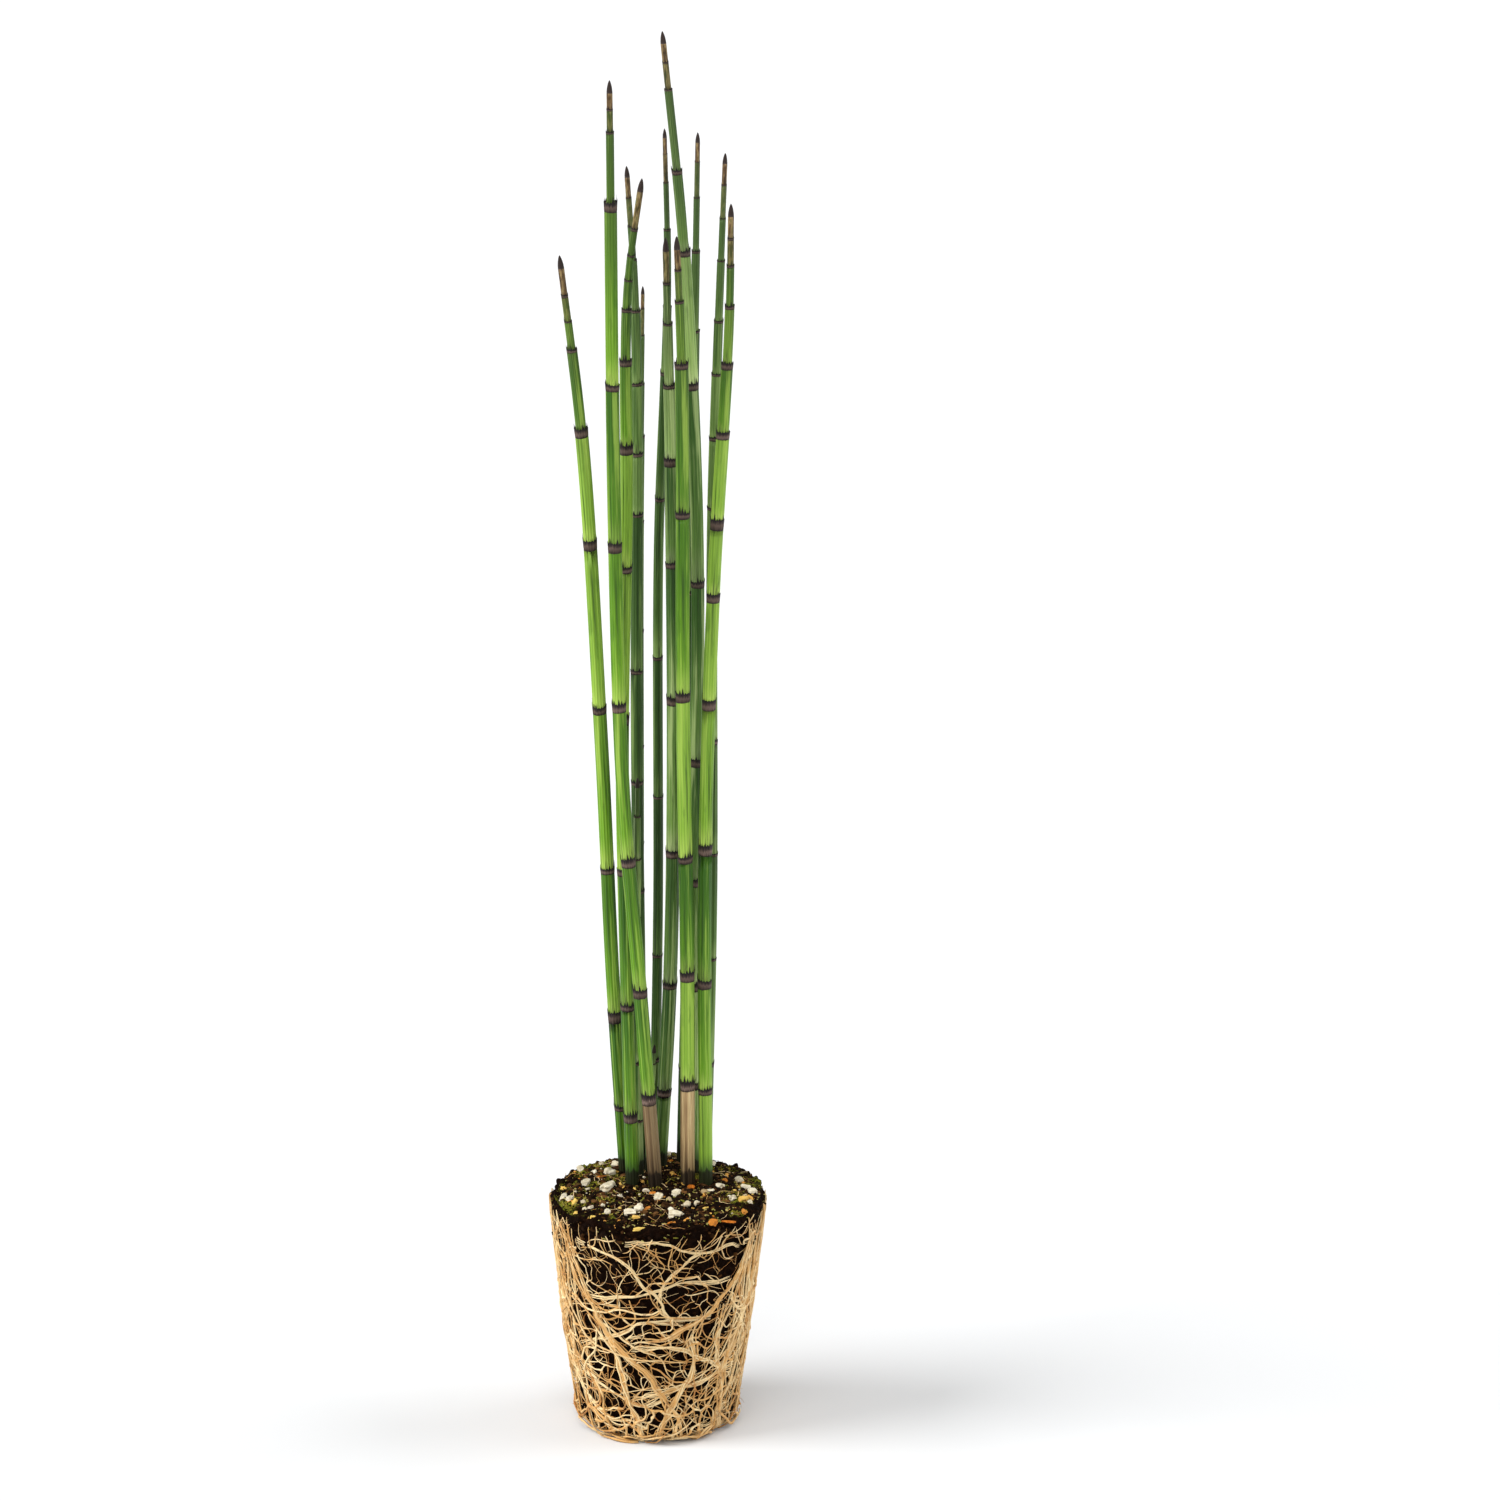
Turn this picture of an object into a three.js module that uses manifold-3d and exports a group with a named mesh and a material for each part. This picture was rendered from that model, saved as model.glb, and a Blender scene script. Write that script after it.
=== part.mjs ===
// A horsetail plant as it comes out of its nursery pot: a tapered root ball of potting mix, wrapped
// in a net of pale roots, with a clump of jointed green stems and two young shoots standing in it.
//
// Millimetres, +Z up. The origin is the centre of the root ball's foot, where it stands on the
// ground. -Y is the side where the soil is bare and the stems show best.
//
// Pieces: "soil" (potting mix with its perlite grains), "root_net" (the matted roots on the root
// ball's side and underside) and one mesh for each stem or shoot. Stems stand in plain holes.

import * as THREE from "three";
import { mergeVertices } from "three/addons/utils/BufferGeometryUtils.js";
import Module from "manifold-3d";

// ---------------------------------------------------------------- driving dimensions

const SOIL_TOP = 112; // height of the soil's surface above the ground
const SOIL_RADIUS_TOP = 48.2; // root ball without its roots, at the rim
const SOIL_RADIUS_FOOT = 34.8; // the same, just above the rounded lower edge
const SOIL_UNDERSIDE = 2.6; // the mix stands off the ground by the thickness of the root mat
const EDGE_ROUND = 5; // lower edge of the root ball
const RIM_DROP = 2.5; // how far the crumbled rim lies under the middle of the surface
const SOIL_SIDES = 40;
const SURFACE_ROUGHNESS = 1.1; // lumps of the soil's surface, up and down

const DRAIN_PAD_RADIUS = 4.5; // mix that set in the pot's drain holes; the root ball stands on it
const DRAIN_PAD_RING = 19.5; // distance of the outer pads from the middle
const DRAIN_PADS = 6;

const PERLITE_GRAINS = 34;
const PERLITE_SIZE = [1.3, 2.3]; // half a grain's width

const HOLE_DEPTH = 26; // how deep each stem stands in the soil
const HOLE_CLEARANCE = 0.35;
const HOLE_SIDES = 8;

const RIDGE_DEPTH = 0.1; // groove between two ridges, as a share of the stem's radius
const SHEATH_FLARE = 1.13; // a sheath's toothed edge against the stem's radius
const SHEATH_LENGTH = 1.25; // as a share of the stem's radius, without its teeth
const TOOTH_LENGTH = 0.7; // as a share of the stem's radius
const SHORT_INTERNODE = 22; // an internode no longer than this widens all the way to its sheath

const ROOT_LIFT = 0.7; // a root's inner face stands this far off the mix
const ROOT_STEP = 10; // length of one straight stretch of root
const ROOT_STEP_EDGE = 2.7; // the same, where it bends round the lower edge
const ROOT_FLATNESS = 0.6; // height of a root against its width
const SIDE_ROOTS = 12; // roots that run from the rim down and under the foot, past the front's
const GIRDLE_ROOTS = 8; // roots that run round the back of the ball
const NET_SEED = 11;
const SOIL_SEED = 5;

// The front's main roots. A route's points are [degrees round the ball from the front, millimetres
// down from the rim]; past about 102 down the root turns under the foot.
const FRONT_ROOTS = [
  { width: 3.3, route: [[-58, 4], [-46, 34], [-30, 57], [-5, 76], [13, 95], [19, 113]] },
  { width: 3, route: [[66, 6], [51, 29], [30, 45], [8, 53], [-15, 58]] },
  { width: 2.5, route: [[-40, 46], [-29, 62], [-23, 80], [-12, 112]] },
  { width: 2.5, route: [[25, 45], [22, 58], [23, 72], [10, 88], [-5, 112]] },
  { width: 2.3, route: [[76, 52], [60, 80], [45, 95], [38, 113]] },
  { width: 1.6, route: [[-18, 7], [0, 6], [21, 11], [52, 13]] },
  { width: 1.7, route: [[-50, 10], [-22, 16], [-4, 30], [10, 45], [32, 47]] },
  { width: 1.7, route: [[-2, 36], [9, 22], [26, 10]] },
  { width: 2.2, route: [[-88, 60], [-66, 82], [-45, 95], [-14, 99]] },
  { width: 2, route: [[-20, 88], [5, 82], [27, 79], [45, 74], [62, 62]] },
  { width: 2.2, route: [[42, 42], [38, 61], [46, 76], [50, 113]] },
  { width: 1.6, route: [[-58, 65], [-30, 54], [-5, 46], [16, 48]] },
  { width: 1.6, route: [[-50, 38], [-10, 32], [14, 27], [46, 29]] },
  { width: 1.7, route: [[-60, 74], [-35, 84], [-13, 89], [8, 84]] },
  { width: 1.7, route: [[-18, 59], [4, 59], [30, 67], [60, 77]] },
];

// ---------------------------------------------------------------- stems

// Each stem's path is given by a few points [x, y, height above the soil], from the ground to the
// tip; joints are heights of the sheathed joints above the soil. Stems in the light are paler.
const STEMS = [
  {
    name: "stem_left_bowed",
    green: "light",
    radius: 3.2,
    sides: 10,
    path: [[-12, 4, 0], [-14, 5, 95], [-15.5, 7, 200], [-13, 9, 320], [-12, 9, 415], [-5.5, 9, 465]],
    joints: [34, 86, 150, 222, 290, 345, 384, 407, 420, 431, 443],
  },
  {
    name: "stem_left_leaning",
    green: "light",
    radius: 3.3,
    sides: 10,
    path: [[-15.5, 21, 0], [-20.5, 15, 90], [-25, 8, 210], [-32, -4, 350], [-41, -12, 436]],
    joints: [33, 79, 149, 227, 306, 358, 395, 408, 420],
  },
  {
    name: "stem_left_front",
    green: "light",
    radius: 3.3,
    sides: 10,
    path: [[-1.5, 2, 0], [-8, -2, 95], [-15, -5, 190], [-18, -7, 310], [-19, -8, 512]],
    joints: [45, 96, 159, 232, 306, 378, 459, 490, 500],
  },
  {
    name: "stem_middle_back",
    green: "middle",
    radius: 3.35,
    sides: 10,
    path: [[0, 26, 0], [5, 23, 90], [7, 20, 190], [6.5, 15, 330], [4.5, 12, 438]],
    joints: [38, 90, 154, 227, 290, 338, 372, 400, 418],
  },
  {
    name: "stem_middle_front",
    green: "light",
    radius: 3.4,
    sides: 10,
    path: [[13, 4.5, 0], [13, 2, 105], [11.5, -1, 235], [11.5, -4, 380], [9.5, -6, 443]],
    joints: [50, 103, 158, 235, 318, 386, 414, 428],
  },
  {
    name: "stem_right_front",
    green: "light",
    radius: 3.25,
    sides: 10,
    path: [[21, 4.5, 0], [21, 4.5, 150], [25, 4, 280], [32, 4, 400], [33, 4, 455]],
    joints: [46, 98, 162, 230, 279, 313, 353, 384, 410, 428, 440],
  },
  {
    name: "stem_tallest",
    green: "middle",
    radius: 3.2,
    sides: 10,
    path: [[15, 18, 0], [16.5, 16, 150], [18, 13, 300], [12.5, 10, 433], [3.5, 8, 530]],
    joints: [44, 92, 142, 199, 282, 373, 433, 469, 505, 517],
  },
  {
    name: "stem_back_left",
    green: "dark",
    radius: 2.9,
    sides: 8,
    path: [[-8, 30, 0], [-9.5, 29, 200], [-9, 26, 400], [-12.5, 24, 467]],
    joints: [42, 86, 132, 184, 236, 309, 337, 369, 402, 425, 440, 453],
  },
  {
    name: "stem_back_middle",
    green: "dark",
    radius: 2.4,
    sides: 8,
    path: [[-3, 38, 0], [-0.5, 38, 120], [0.5, 36, 290], [5, 33, 410], [4, 31, 482]],
    joints: [48, 98, 174, 240, 314, 372, 402, 437, 458, 471],
  },
  {
    name: "stem_back_right",
    green: "dark",
    radius: 2.6,
    sides: 8,
    path: [[10, 35, 0], [13, 35, 130], [15, 32, 290], [18.5, 28, 481]],
    joints: [45, 92, 144, 205, 272, 338, 392, 428, 452, 468],
  },
  {
    name: "stem_right_back",
    green: "dark",
    radius: 2.7,
    sides: 8,
    path: [[21, 21, 0], [24, 23, 130], [24.5, 24, 300], [26.5, 24, 370], [30.5, 23, 473]],
    joints: [52, 102, 152, 205, 262, 313, 345, 374, 398, 425, 444, 459],
  },
  {
    name: "stem_back_short",
    green: "dark",
    radius: 2.1,
    sides: 8,
    path: [[-12, 38, 0], [-9, 42, 120], [-8, 44, 290], [-6, 45, 408]],
    joints: [38, 76, 113, 150, 196, 250, 301, 340, 364, 386, 398],
  },
  {
    name: "young_shoot_tall",
    green: "middle",
    radius: 2.1,
    sides: 6,
    path: [[-9, 14.5, 0], [-10, 15, 80], [-9, 15, 190]],
    joints: [27, 55, 88, 124, 152, 172],
  },
  {
    name: "young_shoot_low",
    green: "middle",
    radius: 1.5,
    sides: 6,
    path: [[-5.5, 19.5, 0], [-3.8, 18.8, 31], [-2, 18, 62]],
    joints: [14, 29, 43, 53],
  },
];

// ---------------------------------------------------------------- finishes

const GREENS = { light: 0x6fa534, middle: 0x4f8a2c, dark: 0x2f6426 };

const finish = (color, roughness) => new THREE.MeshStandardMaterial({ color, roughness, metalness: 0 });
const stemFinish = ({ green }) => finish(GREENS[green], 0.45);
const soilFinish = () => finish(0x2a1d14, 0.95);
const rootFinish = () => finish(0xd9b27c, 0.7);

// ---------------------------------------------------------------- tools

const wasm = await Module();
wasm.setup();

// A seeded stream of numbers from 0 to 1 (the mulberry32 mix).
function randomStream(seed) {
  let state = seed;
  return () => {
    state = (state + 0x6d2b79f5) | 0;
    let t = Math.imul(state ^ (state >>> 15), 1 | state);
    t = (t + Math.imul(t ^ (t >>> 7), 61 | t)) ^ t;
    return ((t ^ (t >>> 14)) >>> 0) / 4294967296;
  };
}

const between = (random, low, high) => low + (high - low) * random();

// A closed skin over rings of equal count, each running anticlockwise seen from the last ring's
// side. The two end rings are closed by a fan round their own middle, or round a given pole.
function loft(rings, firstPole, lastPole) {
  const count = rings[0].length;
  const middle = (ring) =>
    ring.reduce((sum, p) => sum.add(p), new THREE.Vector3()).divideScalar(count);
  const points = [...rings.flat(), firstPole ?? middle(rings[0]), lastPole ?? middle(rings.at(-1))];
  const first = points.length - 2;
  const last = points.length - 1;
  const top = (rings.length - 1) * count;
  const faces = [];
  for (let k = 0; k < count; k++) {
    const next = (k + 1) % count;
    faces.push(first, next, k, last, top + k, top + next);
    for (let r = 0; r + 1 < rings.length; r++) {
      const a = r * count;
      const b = a + count;
      faces.push(a + k, a + next, b + next, a + k, b + next, b + k);
    }
  }
  return new THREE.BufferGeometry().setFromPoints(points).setIndex(faces);
}

function solidOf(geometry) {
  const bare = geometry.clone();
  bare.deleteAttribute("normal");
  bare.deleteAttribute("uv");
  const merged = mergeVertices(bare, 1e-4);
  return new wasm.Manifold(
    new wasm.Mesh({
      numProp: 3,
      vertProperties: new Float32Array(merged.attributes.position.array),
      triVerts: new Uint32Array(merged.index.array),
    }),
  );
}

function geometryOf(solid) {
  const { numProp, numVert, vertProperties, triVerts } = solid.getMesh();
  const position = new Float32Array(numVert * 3);
  for (let i = 0; i < numVert; i++) {
    position.set(vertProperties.subarray(i * numProp, i * numProp + 3), i * 3);
  }
  return new THREE.BufferGeometry()
    .setAttribute("position", new THREE.BufferAttribute(position, 3))
    .setIndex(new THREE.BufferAttribute(triVerts, 1));
}

// Joins solids two by two, so that no single join is large.
function joined(solids) {
  let row = solids;
  while (row.length > 1) {
    const pairs = [];
    for (let i = 0; i < row.length; i += 2) pairs.push(row[i + 1] ? row[i].add(row[i + 1]) : row[i]);
    row = pairs;
  }
  return row[0];
}

function named(name, geometry, material) {
  const mesh = new THREE.Mesh(geometry, material);
  mesh.name = name;
  return mesh;
}

// ---------------------------------------------------------------- stems

// A stem's axis and how it turns, at a distance along it from the soil; below 0 it runs straight on.
function stemAxis(stem) {
  const points = stem.path.map(([x, y, z]) => new THREE.Vector3(x, y, SOIL_TOP + z));
  const curve = new THREE.CatmullRomCurve3(points, false, "centripetal");
  const length = curve.getLength();
  const up = new THREE.Vector3(0, 0, 1);
  return {
    length,
    at(distance) {
      const share = THREE.MathUtils.clamp(distance / length, 0, 1);
      const tangent = curve.getTangentAt(share);
      const point = curve.getPointAt(share).addScaledVector(tangent, Math.min(distance, 0));
      return { point, turn: new THREE.Quaternion().setFromUnitVectors(up, tangent) };
    },
  };
}

// Radius of the stem between two joints: full for two thirds of its length, then each internode is
// thinner than the last one.
function stemRadius(stem, distance, length) {
  const share = THREE.MathUtils.clamp(distance / length, 0, 1);
  const slender = 1 - 0.1 * share;
  const tip = THREE.MathUtils.smoothstep(share, 0.68, 1.02);
  return stem.radius * slender * (1 - 0.52 * tip);
}

// One ring of a stem. Ridges and grooves alternate; toothed rings rise at each ridge.
function stemRing(stem, axis, distance, radius, { tooth = 0, groove = RIDGE_DEPTH } = {}) {
  const { point, turn } = axis.at(distance);
  return Array.from({ length: stem.sides }, (_, k) => {
    const angle = (2 * Math.PI * k) / stem.sides;
    const ridge = k % 2 === 0;
    const r = radius * (ridge ? 1 : 1 - groove);
    return new THREE.Vector3(r * Math.cos(angle), r * Math.sin(angle), ridge ? tooth : 0)
      .applyQuaternion(turn)
      .add(point);
  });
}

// A stem: straight ridged internodes, each rising out of the toothed sheath of the joint below it,
// and a blunt dark cone at the tip.
function stemGeometry(stem) {
  const axis = stemAxis(stem);
  const rings = [stemRing(stem, axis, -HOLE_DEPTH, stem.radius)];
  let lower = stem.radius;
  let below = 0;
  for (const joint of stem.joints) {
    const upper = stemRadius(stem, joint, axis.length);
    const sheath = SHEATH_LENGTH * lower;
    const tooth = TOOTH_LENGTH * lower;
    const flared = SHEATH_FLARE * lower;
    if (joint - below > SHORT_INTERNODE) rings.push(stemRing(stem, axis, joint - sheath, lower));
    rings.push(stemRing(stem, axis, joint, flared, { tooth, groove: 0.02 }));
    rings.push(stemRing(stem, axis, joint - 0.5, upper, { tooth }));
    lower = upper;
    below = joint;
  }
  const cone = 2.6 * lower;
  rings.push(stemRing(stem, axis, axis.length - cone, lower * 0.94));
  return loft(rings, undefined, axis.at(axis.length).point);
}

// The plain hole that a stem stands in, from its foot to well above the soil.
function stemHole(stem) {
  const axis = stemAxis(stem);
  const low = axis.at(-HOLE_DEPTH - HOLE_CLEARANCE).point;
  const { point: ground, turn } = axis.at(0);
  const above = 12;
  const length = ground.distanceTo(low) + above;
  const radius = (stem.radius + HOLE_CLEARANCE) / Math.cos(Math.PI / HOLE_SIDES);
  const hole = new THREE.CylinderGeometry(radius, radius, length, HOLE_SIDES);
  hole.rotateX(Math.PI / 2).translate(0, 0, length / 2);
  hole.applyQuaternion(turn).translate(low.x, low.y, low.z);
  return solidOf(hole);
}

// ---------------------------------------------------------------- soil

// Radius of the bare mix at a height: a straight taper, as the pot was.
function soilRadius(z) {
  const share = (z - SOIL_UNDERSIDE - EDGE_ROUND) / (SOIL_TOP - RIM_DROP - SOIL_UNDERSIDE - EDGE_ROUND);
  return SOIL_RADIUS_FOOT + (SOIL_RADIUS_TOP - SOIL_RADIUS_FOOT) * share;
}

// Lumps of the surface: a few crossed waves that never repeat within the root ball.
function lumps(x, y) {
  return (
    0.5 * Math.sin(0.31 * x + 1.3 * Math.sin(0.11 * y + 0.4)) * Math.cos(0.27 * y + 0.7) +
    0.5 * Math.sin(0.53 * x - 0.41 * y + 2.1) * Math.cos(0.37 * x + 0.61 * y)
  );
}

function soilRing(radius, z, lumpy = 0, crumble = 0) {
  return Array.from({ length: SOIL_SIDES }, (_, k) => {
    const angle = (2 * Math.PI * k) / SOIL_SIDES;
    const worn = radius - crumble * (0.5 + 0.5 * Math.sin(5 * angle + 3 * Math.sin(2 * angle)));
    const x = worn * Math.cos(angle);
    const y = worn * Math.sin(angle);
    return new THREE.Vector3(x, y, z + lumpy * lumps(x, y));
  });
}

// The tapered ball with its rounded lower edge, worn rim and lumpy surface.
function soilBall() {
  const foot = SOIL_UNDERSIDE;
  const rim = SOIL_TOP - RIM_DROP;
  const rings = [
    soilRing(SOIL_RADIUS_FOOT - EDGE_ROUND, foot),
    soilRing(SOIL_RADIUS_FOOT - 0.3 * EDGE_ROUND, foot + 0.3 * EDGE_ROUND),
    soilRing(soilRadius(foot + EDGE_ROUND), foot + EDGE_ROUND),
    ...[0.25, 0.5, 0.75].map((share) => {
      const z = foot + share * (rim - foot);
      return soilRing(soilRadius(z), z, 0, 0.5);
    }),
    soilRing(soilRadius(rim - 3), rim - 3, 0, 0.8),
    soilRing(SOIL_RADIUS_TOP - 2.2, rim, SURFACE_ROUGHNESS, 1.2),
    ...[0.84, 0.68, 0.52, 0.38, 0.24, 0.1].map((share) =>
      soilRing(SOIL_RADIUS_TOP * share, rim + RIM_DROP * (1 - share ** 3), SURFACE_ROUGHNESS),
    ),
  ];
  return solidOf(
    loft(rings, new THREE.Vector3(0, 0, foot), new THREE.Vector3(0, 0, SOIL_TOP)),
  );
}

function drainPad(x, y) {
  const pad = new THREE.CylinderGeometry(DRAIN_PAD_RADIUS, DRAIN_PAD_RADIUS, 2 * SOIL_UNDERSIDE, 8);
  return solidOf(pad.rotateX(Math.PI / 2).translate(x, y, SOIL_UNDERSIDE));
}

function drainPads() {
  const ring = Array.from({ length: DRAIN_PADS }, (_, k) => {
    const angle = (2 * Math.PI * (k + 0.5)) / DRAIN_PADS;
    return drainPad(DRAIN_PAD_RING * Math.cos(angle), DRAIN_PAD_RING * Math.sin(angle));
  });
  return [drainPad(0, 0), ...ring];
}

// White grains of perlite, half sunk in the surface and clear of the stems.
function perliteGrains(random) {
  const grains = [];
  while (grains.length < PERLITE_GRAINS) {
    const distance = SOIL_RADIUS_TOP * 0.84 * Math.sqrt(random());
    const angle = 2 * Math.PI * random();
    const size = between(random, ...PERLITE_SIZE);
    const stretch = between(random, 1, 1.5);
    const tilt = between(random, -0.4, 0.4);
    const x = distance * Math.cos(angle);
    const y = distance * Math.sin(angle);
    const clear = STEMS.every(
      ({ path: [[sx, sy]], radius }) => Math.hypot(x - sx, y - sy) > radius + 2.2 * size,
    );
    if (!clear) continue;
    const z = SOIL_TOP - RIM_DROP * (distance / SOIL_RADIUS_TOP) ** 3 + SURFACE_ROUGHNESS * lumps(x, y);
    const grain = new THREE.OctahedronGeometry(size);
    grain.scale(stretch, 1, 0.75).rotateX(tilt).rotateZ(angle * 3).translate(x, y, z + 0.1 * size);
    grains.push(solidOf(grain));
  }
  return grains;
}

function soilGeometry() {
  const ball = joined([soilBall(), ...drainPads(), ...perliteGrains(randomStream(SOIL_SEED))]);
  return geometryOf(ball.subtract(joined(STEMS.map(stemHole))));
}

// ---------------------------------------------------------------- root net

const SIDE_LENGTH = SOIL_TOP - RIM_DROP - SOIL_UNDERSIDE - EDGE_ROUND;
const UNDER_START = SIDE_LENGTH + 0.5 * Math.PI * EDGE_ROUND;

// A point on the skin of the root ball: down the side from the rim, round the lower edge and then
// in under the foot, lifted off the mix along the outward direction there.
function skinPoint(angle, down, lift) {
  let r;
  let z;
  let lean = 0;
  if (down <= SIDE_LENGTH) {
    z = SOIL_TOP - RIM_DROP - down;
    r = soilRadius(z);
  } else if (down <= UNDER_START) {
    lean = (down - SIDE_LENGTH) / EDGE_ROUND;
    r = SOIL_RADIUS_FOOT - EDGE_ROUND * (1 - Math.cos(lean));
    z = SOIL_UNDERSIDE + EDGE_ROUND * (1 - Math.sin(lean));
  } else {
    lean = Math.PI / 2;
    r = SOIL_RADIUS_FOOT - EDGE_ROUND - (down - UNDER_START);
    z = SOIL_UNDERSIDE;
  }
  r += lift * Math.cos(lean);
  z -= lift * Math.sin(lean);
  return new THREE.Vector3(r * Math.cos(angle), r * Math.sin(angle), z);
}

// A root of three faces laid along points [angle, down] on the skin. Its inner face lies against
// the mix; it thins out towards both ends.
function rootSolid(route, width, height, lift) {
  const last = route.length - 1;
  const rings = route.map(([angle, down], i) => {
    const [aheadAngle, aheadDown] = route[Math.min(i + 1, last)];
    const [behindAngle, behindDown] = route[Math.max(i - 1, 0)];
    const along = skinPoint(aheadAngle, aheadDown, lift).sub(skinPoint(behindAngle, behindDown, lift));
    const inner = skinPoint(angle, down, lift);
    const outward = skinPoint(angle, down, lift + 1).sub(inner).normalize();
    const across = new THREE.Vector3().crossVectors(along, outward).normalize();
    const full = 0.45 + 0.55 * Math.min(1, (4 * Math.min(i, last - i)) / last);
    return [
      inner.clone().addScaledVector(across, -0.5 * width * full),
      inner.clone().addScaledVector(outward, height * full),
      inner.clone().addScaledVector(across, 0.5 * width * full),
    ];
  });
  return solidOf(loft(rings));
}

// Points along the smooth line through a root's route, close together where it bends round the
// lower edge, as [radians from +X, millimetres down].
function rootLine(route) {
  const mean = 0.5 * (SOIL_RADIUS_TOP + SOIL_RADIUS_FOOT);
  const curve = new THREE.CatmullRomCurve3(
    route.map(([degrees, down]) => new THREE.Vector3(mean * THREE.MathUtils.degToRad(degrees - 90), down)),
  );
  const length = curve.getLength();
  const line = [];
  let run = 0;
  while (run < length - 0.3 * ROOT_STEP_EDGE) {
    const { x, y } = curve.getPointAt(run / length);
    line.push([x / mean, y]);
    const bending = y > SIDE_LENGTH - 0.7 * ROOT_STEP && y < UNDER_START;
    run += bending ? ROOT_STEP_EDGE : ROOT_STEP;
  }
  const { x, y } = curve.getPointAt(1);
  return [...line, [x / mean, y]];
}

// Routes of the roots that run down the sides and the back, leaning left and right in turn.
function sideRoutes(random) {
  return Array.from({ length: SIDE_ROOTS }, (_, i) => {
    const lean = i % 2 ? 1 : -1;
    const start = 72 + (216 * (i + 0.5 * random())) / SIDE_ROOTS;
    const drift = lean * between(random, 12, 30);
    const top = between(random, 2, 20);
    return {
      width: between(random, 1.9, 2.9),
      route: [
        [start, top],
        [start + 0.5 * drift, between(random, 35, 45)],
        [start + 1.3 * drift, between(random, 65, 80)],
        [start + between(random, 1.2, 2) * drift, between(random, 111, 114)],
      ],
    };
  });
}

// Routes of the roots that run round the back of the ball, one below the other, reaching the
// front's roots on the right and on the left in turn.
function girdleRoutes(random) {
  return Array.from({ length: GIRDLE_ROOTS }, (_, i) => {
    const level = 22 + (76 * i) / (GIRDLE_ROOTS - 1);
    const start = i % 2 ? between(random, 120, 150) : between(random, 45, 60);
    const sweep = between(random, 150, 165);
    const levelAt = (share) => [start + share * sweep, level + between(random, -6, 6)];
    return { width: between(random, 1.6, 2.2), route: [0, 0.3, 0.6, 1].map(levelAt) };
  });
}

function rootNetGeometry() {
  const random = randomStream(NET_SEED);
  const roots = [...FRONT_ROOTS, ...sideRoutes(random), ...girdleRoutes(random)];
  const net = joined(
    roots.map(({ width, route }) => {
      const lift = between(random, ROOT_LIFT, ROOT_LIFT + 0.25);
      return rootSolid(rootLine(route), width, ROOT_FLATNESS * width, lift);
    }),
  );
  const [largest] = net.decompose().sort((a, b) => b.volume() - a.volume());
  return geometryOf(largest);
}

// ---------------------------------------------------------------- the plant

const plant = new THREE.Group();
plant.name = "horsetail_plant";
plant.add(named("soil", soilGeometry(), soilFinish()));
plant.add(named("root_net", rootNetGeometry(), rootFinish()));
for (const stem of STEMS) plant.add(named(stem.name, stemGeometry(stem), stemFinish(stem)));

export default plant;
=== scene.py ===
"""A horsetail plant as it comes out of its nursery pot, dressed for a studio picture.

Jointed green stems and two young shoots stand in a tapered root ball of dark potting mix, which is
wrapped in a net of pale roots. Sizes are in millimetres, and become metres when a mesh is made. The
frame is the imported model's: +Z up, the origin under the middle of the root ball, and -Y towards the
side where the soil is bare and the stems show best.
"""

import logging
import math
from collections.abc import Iterable, Iterator
from dataclasses import dataclass, field, replace
from enum import Enum
from functools import cached_property, lru_cache
from itertools import combinations, product

import bpy
import numpy as np
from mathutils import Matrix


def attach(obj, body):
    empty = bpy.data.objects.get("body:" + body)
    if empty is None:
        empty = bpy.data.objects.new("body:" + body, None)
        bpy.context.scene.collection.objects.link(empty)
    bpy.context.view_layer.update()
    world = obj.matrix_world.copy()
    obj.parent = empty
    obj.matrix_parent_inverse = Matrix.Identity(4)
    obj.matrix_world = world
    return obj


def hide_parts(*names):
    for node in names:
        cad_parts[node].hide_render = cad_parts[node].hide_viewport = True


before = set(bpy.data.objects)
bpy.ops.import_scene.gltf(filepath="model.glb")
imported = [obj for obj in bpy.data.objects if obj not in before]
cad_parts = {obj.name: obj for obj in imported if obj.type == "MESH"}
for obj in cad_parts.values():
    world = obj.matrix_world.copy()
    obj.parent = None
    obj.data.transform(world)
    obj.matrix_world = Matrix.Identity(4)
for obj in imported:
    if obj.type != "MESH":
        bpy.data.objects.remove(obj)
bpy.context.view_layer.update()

MM = 0.001  # metres in a millimetre
GROUND_GAP = 0.02  # the lowest that a root's skin reaches above the ground, in millimetres
FAR = 99.0  # a rise above a sheath that is beyond its effects, in millimetres
STRAND_SHIFT = 37.0  # from one strand's streaks to the next one's, in millimetres
TINY = 1e-9  # the least length that is divided by
TURN = 6.283  # a full turn for the random draws, in radians
LATTICE_PRIMES = (374761393, 668265263, 1103515245)  # they scatter the lattice's random values
SEED_PRIME = 974634777
MIXING_PRIME = 1274126177
BODY = "root"
LOG = logging.getLogger("horsetail")

Array = np.ndarray
Pair = tuple[Array, Array]
Span = tuple[float, float]
Rows = tuple[tuple[float, ...], ...]
Stops = tuple[tuple[float, str], ...]
Route = tuple[float, tuple[Span, ...]]
Draws = np.random.Generator
Material = bpy.types.Material
NodeTree = bpy.types.NodeTree
Socket = bpy.types.NodeSocket
Given = Iterable[tuple[object, object]]


class Slot(Enum):
    """Material slots of the record."""

    STEMS = "stems"
    MIX = "potting_mix"
    ROOTS = "roots"


# ---------------- numbers


def smoothstep(value: Array, low: float, high: float) -> Array:
    """Rises smoothly from 0 at low to 1 at high, as 3t^2 - 2t^3."""
    t = np.clip((value - low) / (high - low), 0.0, 1.0)
    return t * t * (3.0 - 2.0 * t)


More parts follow.
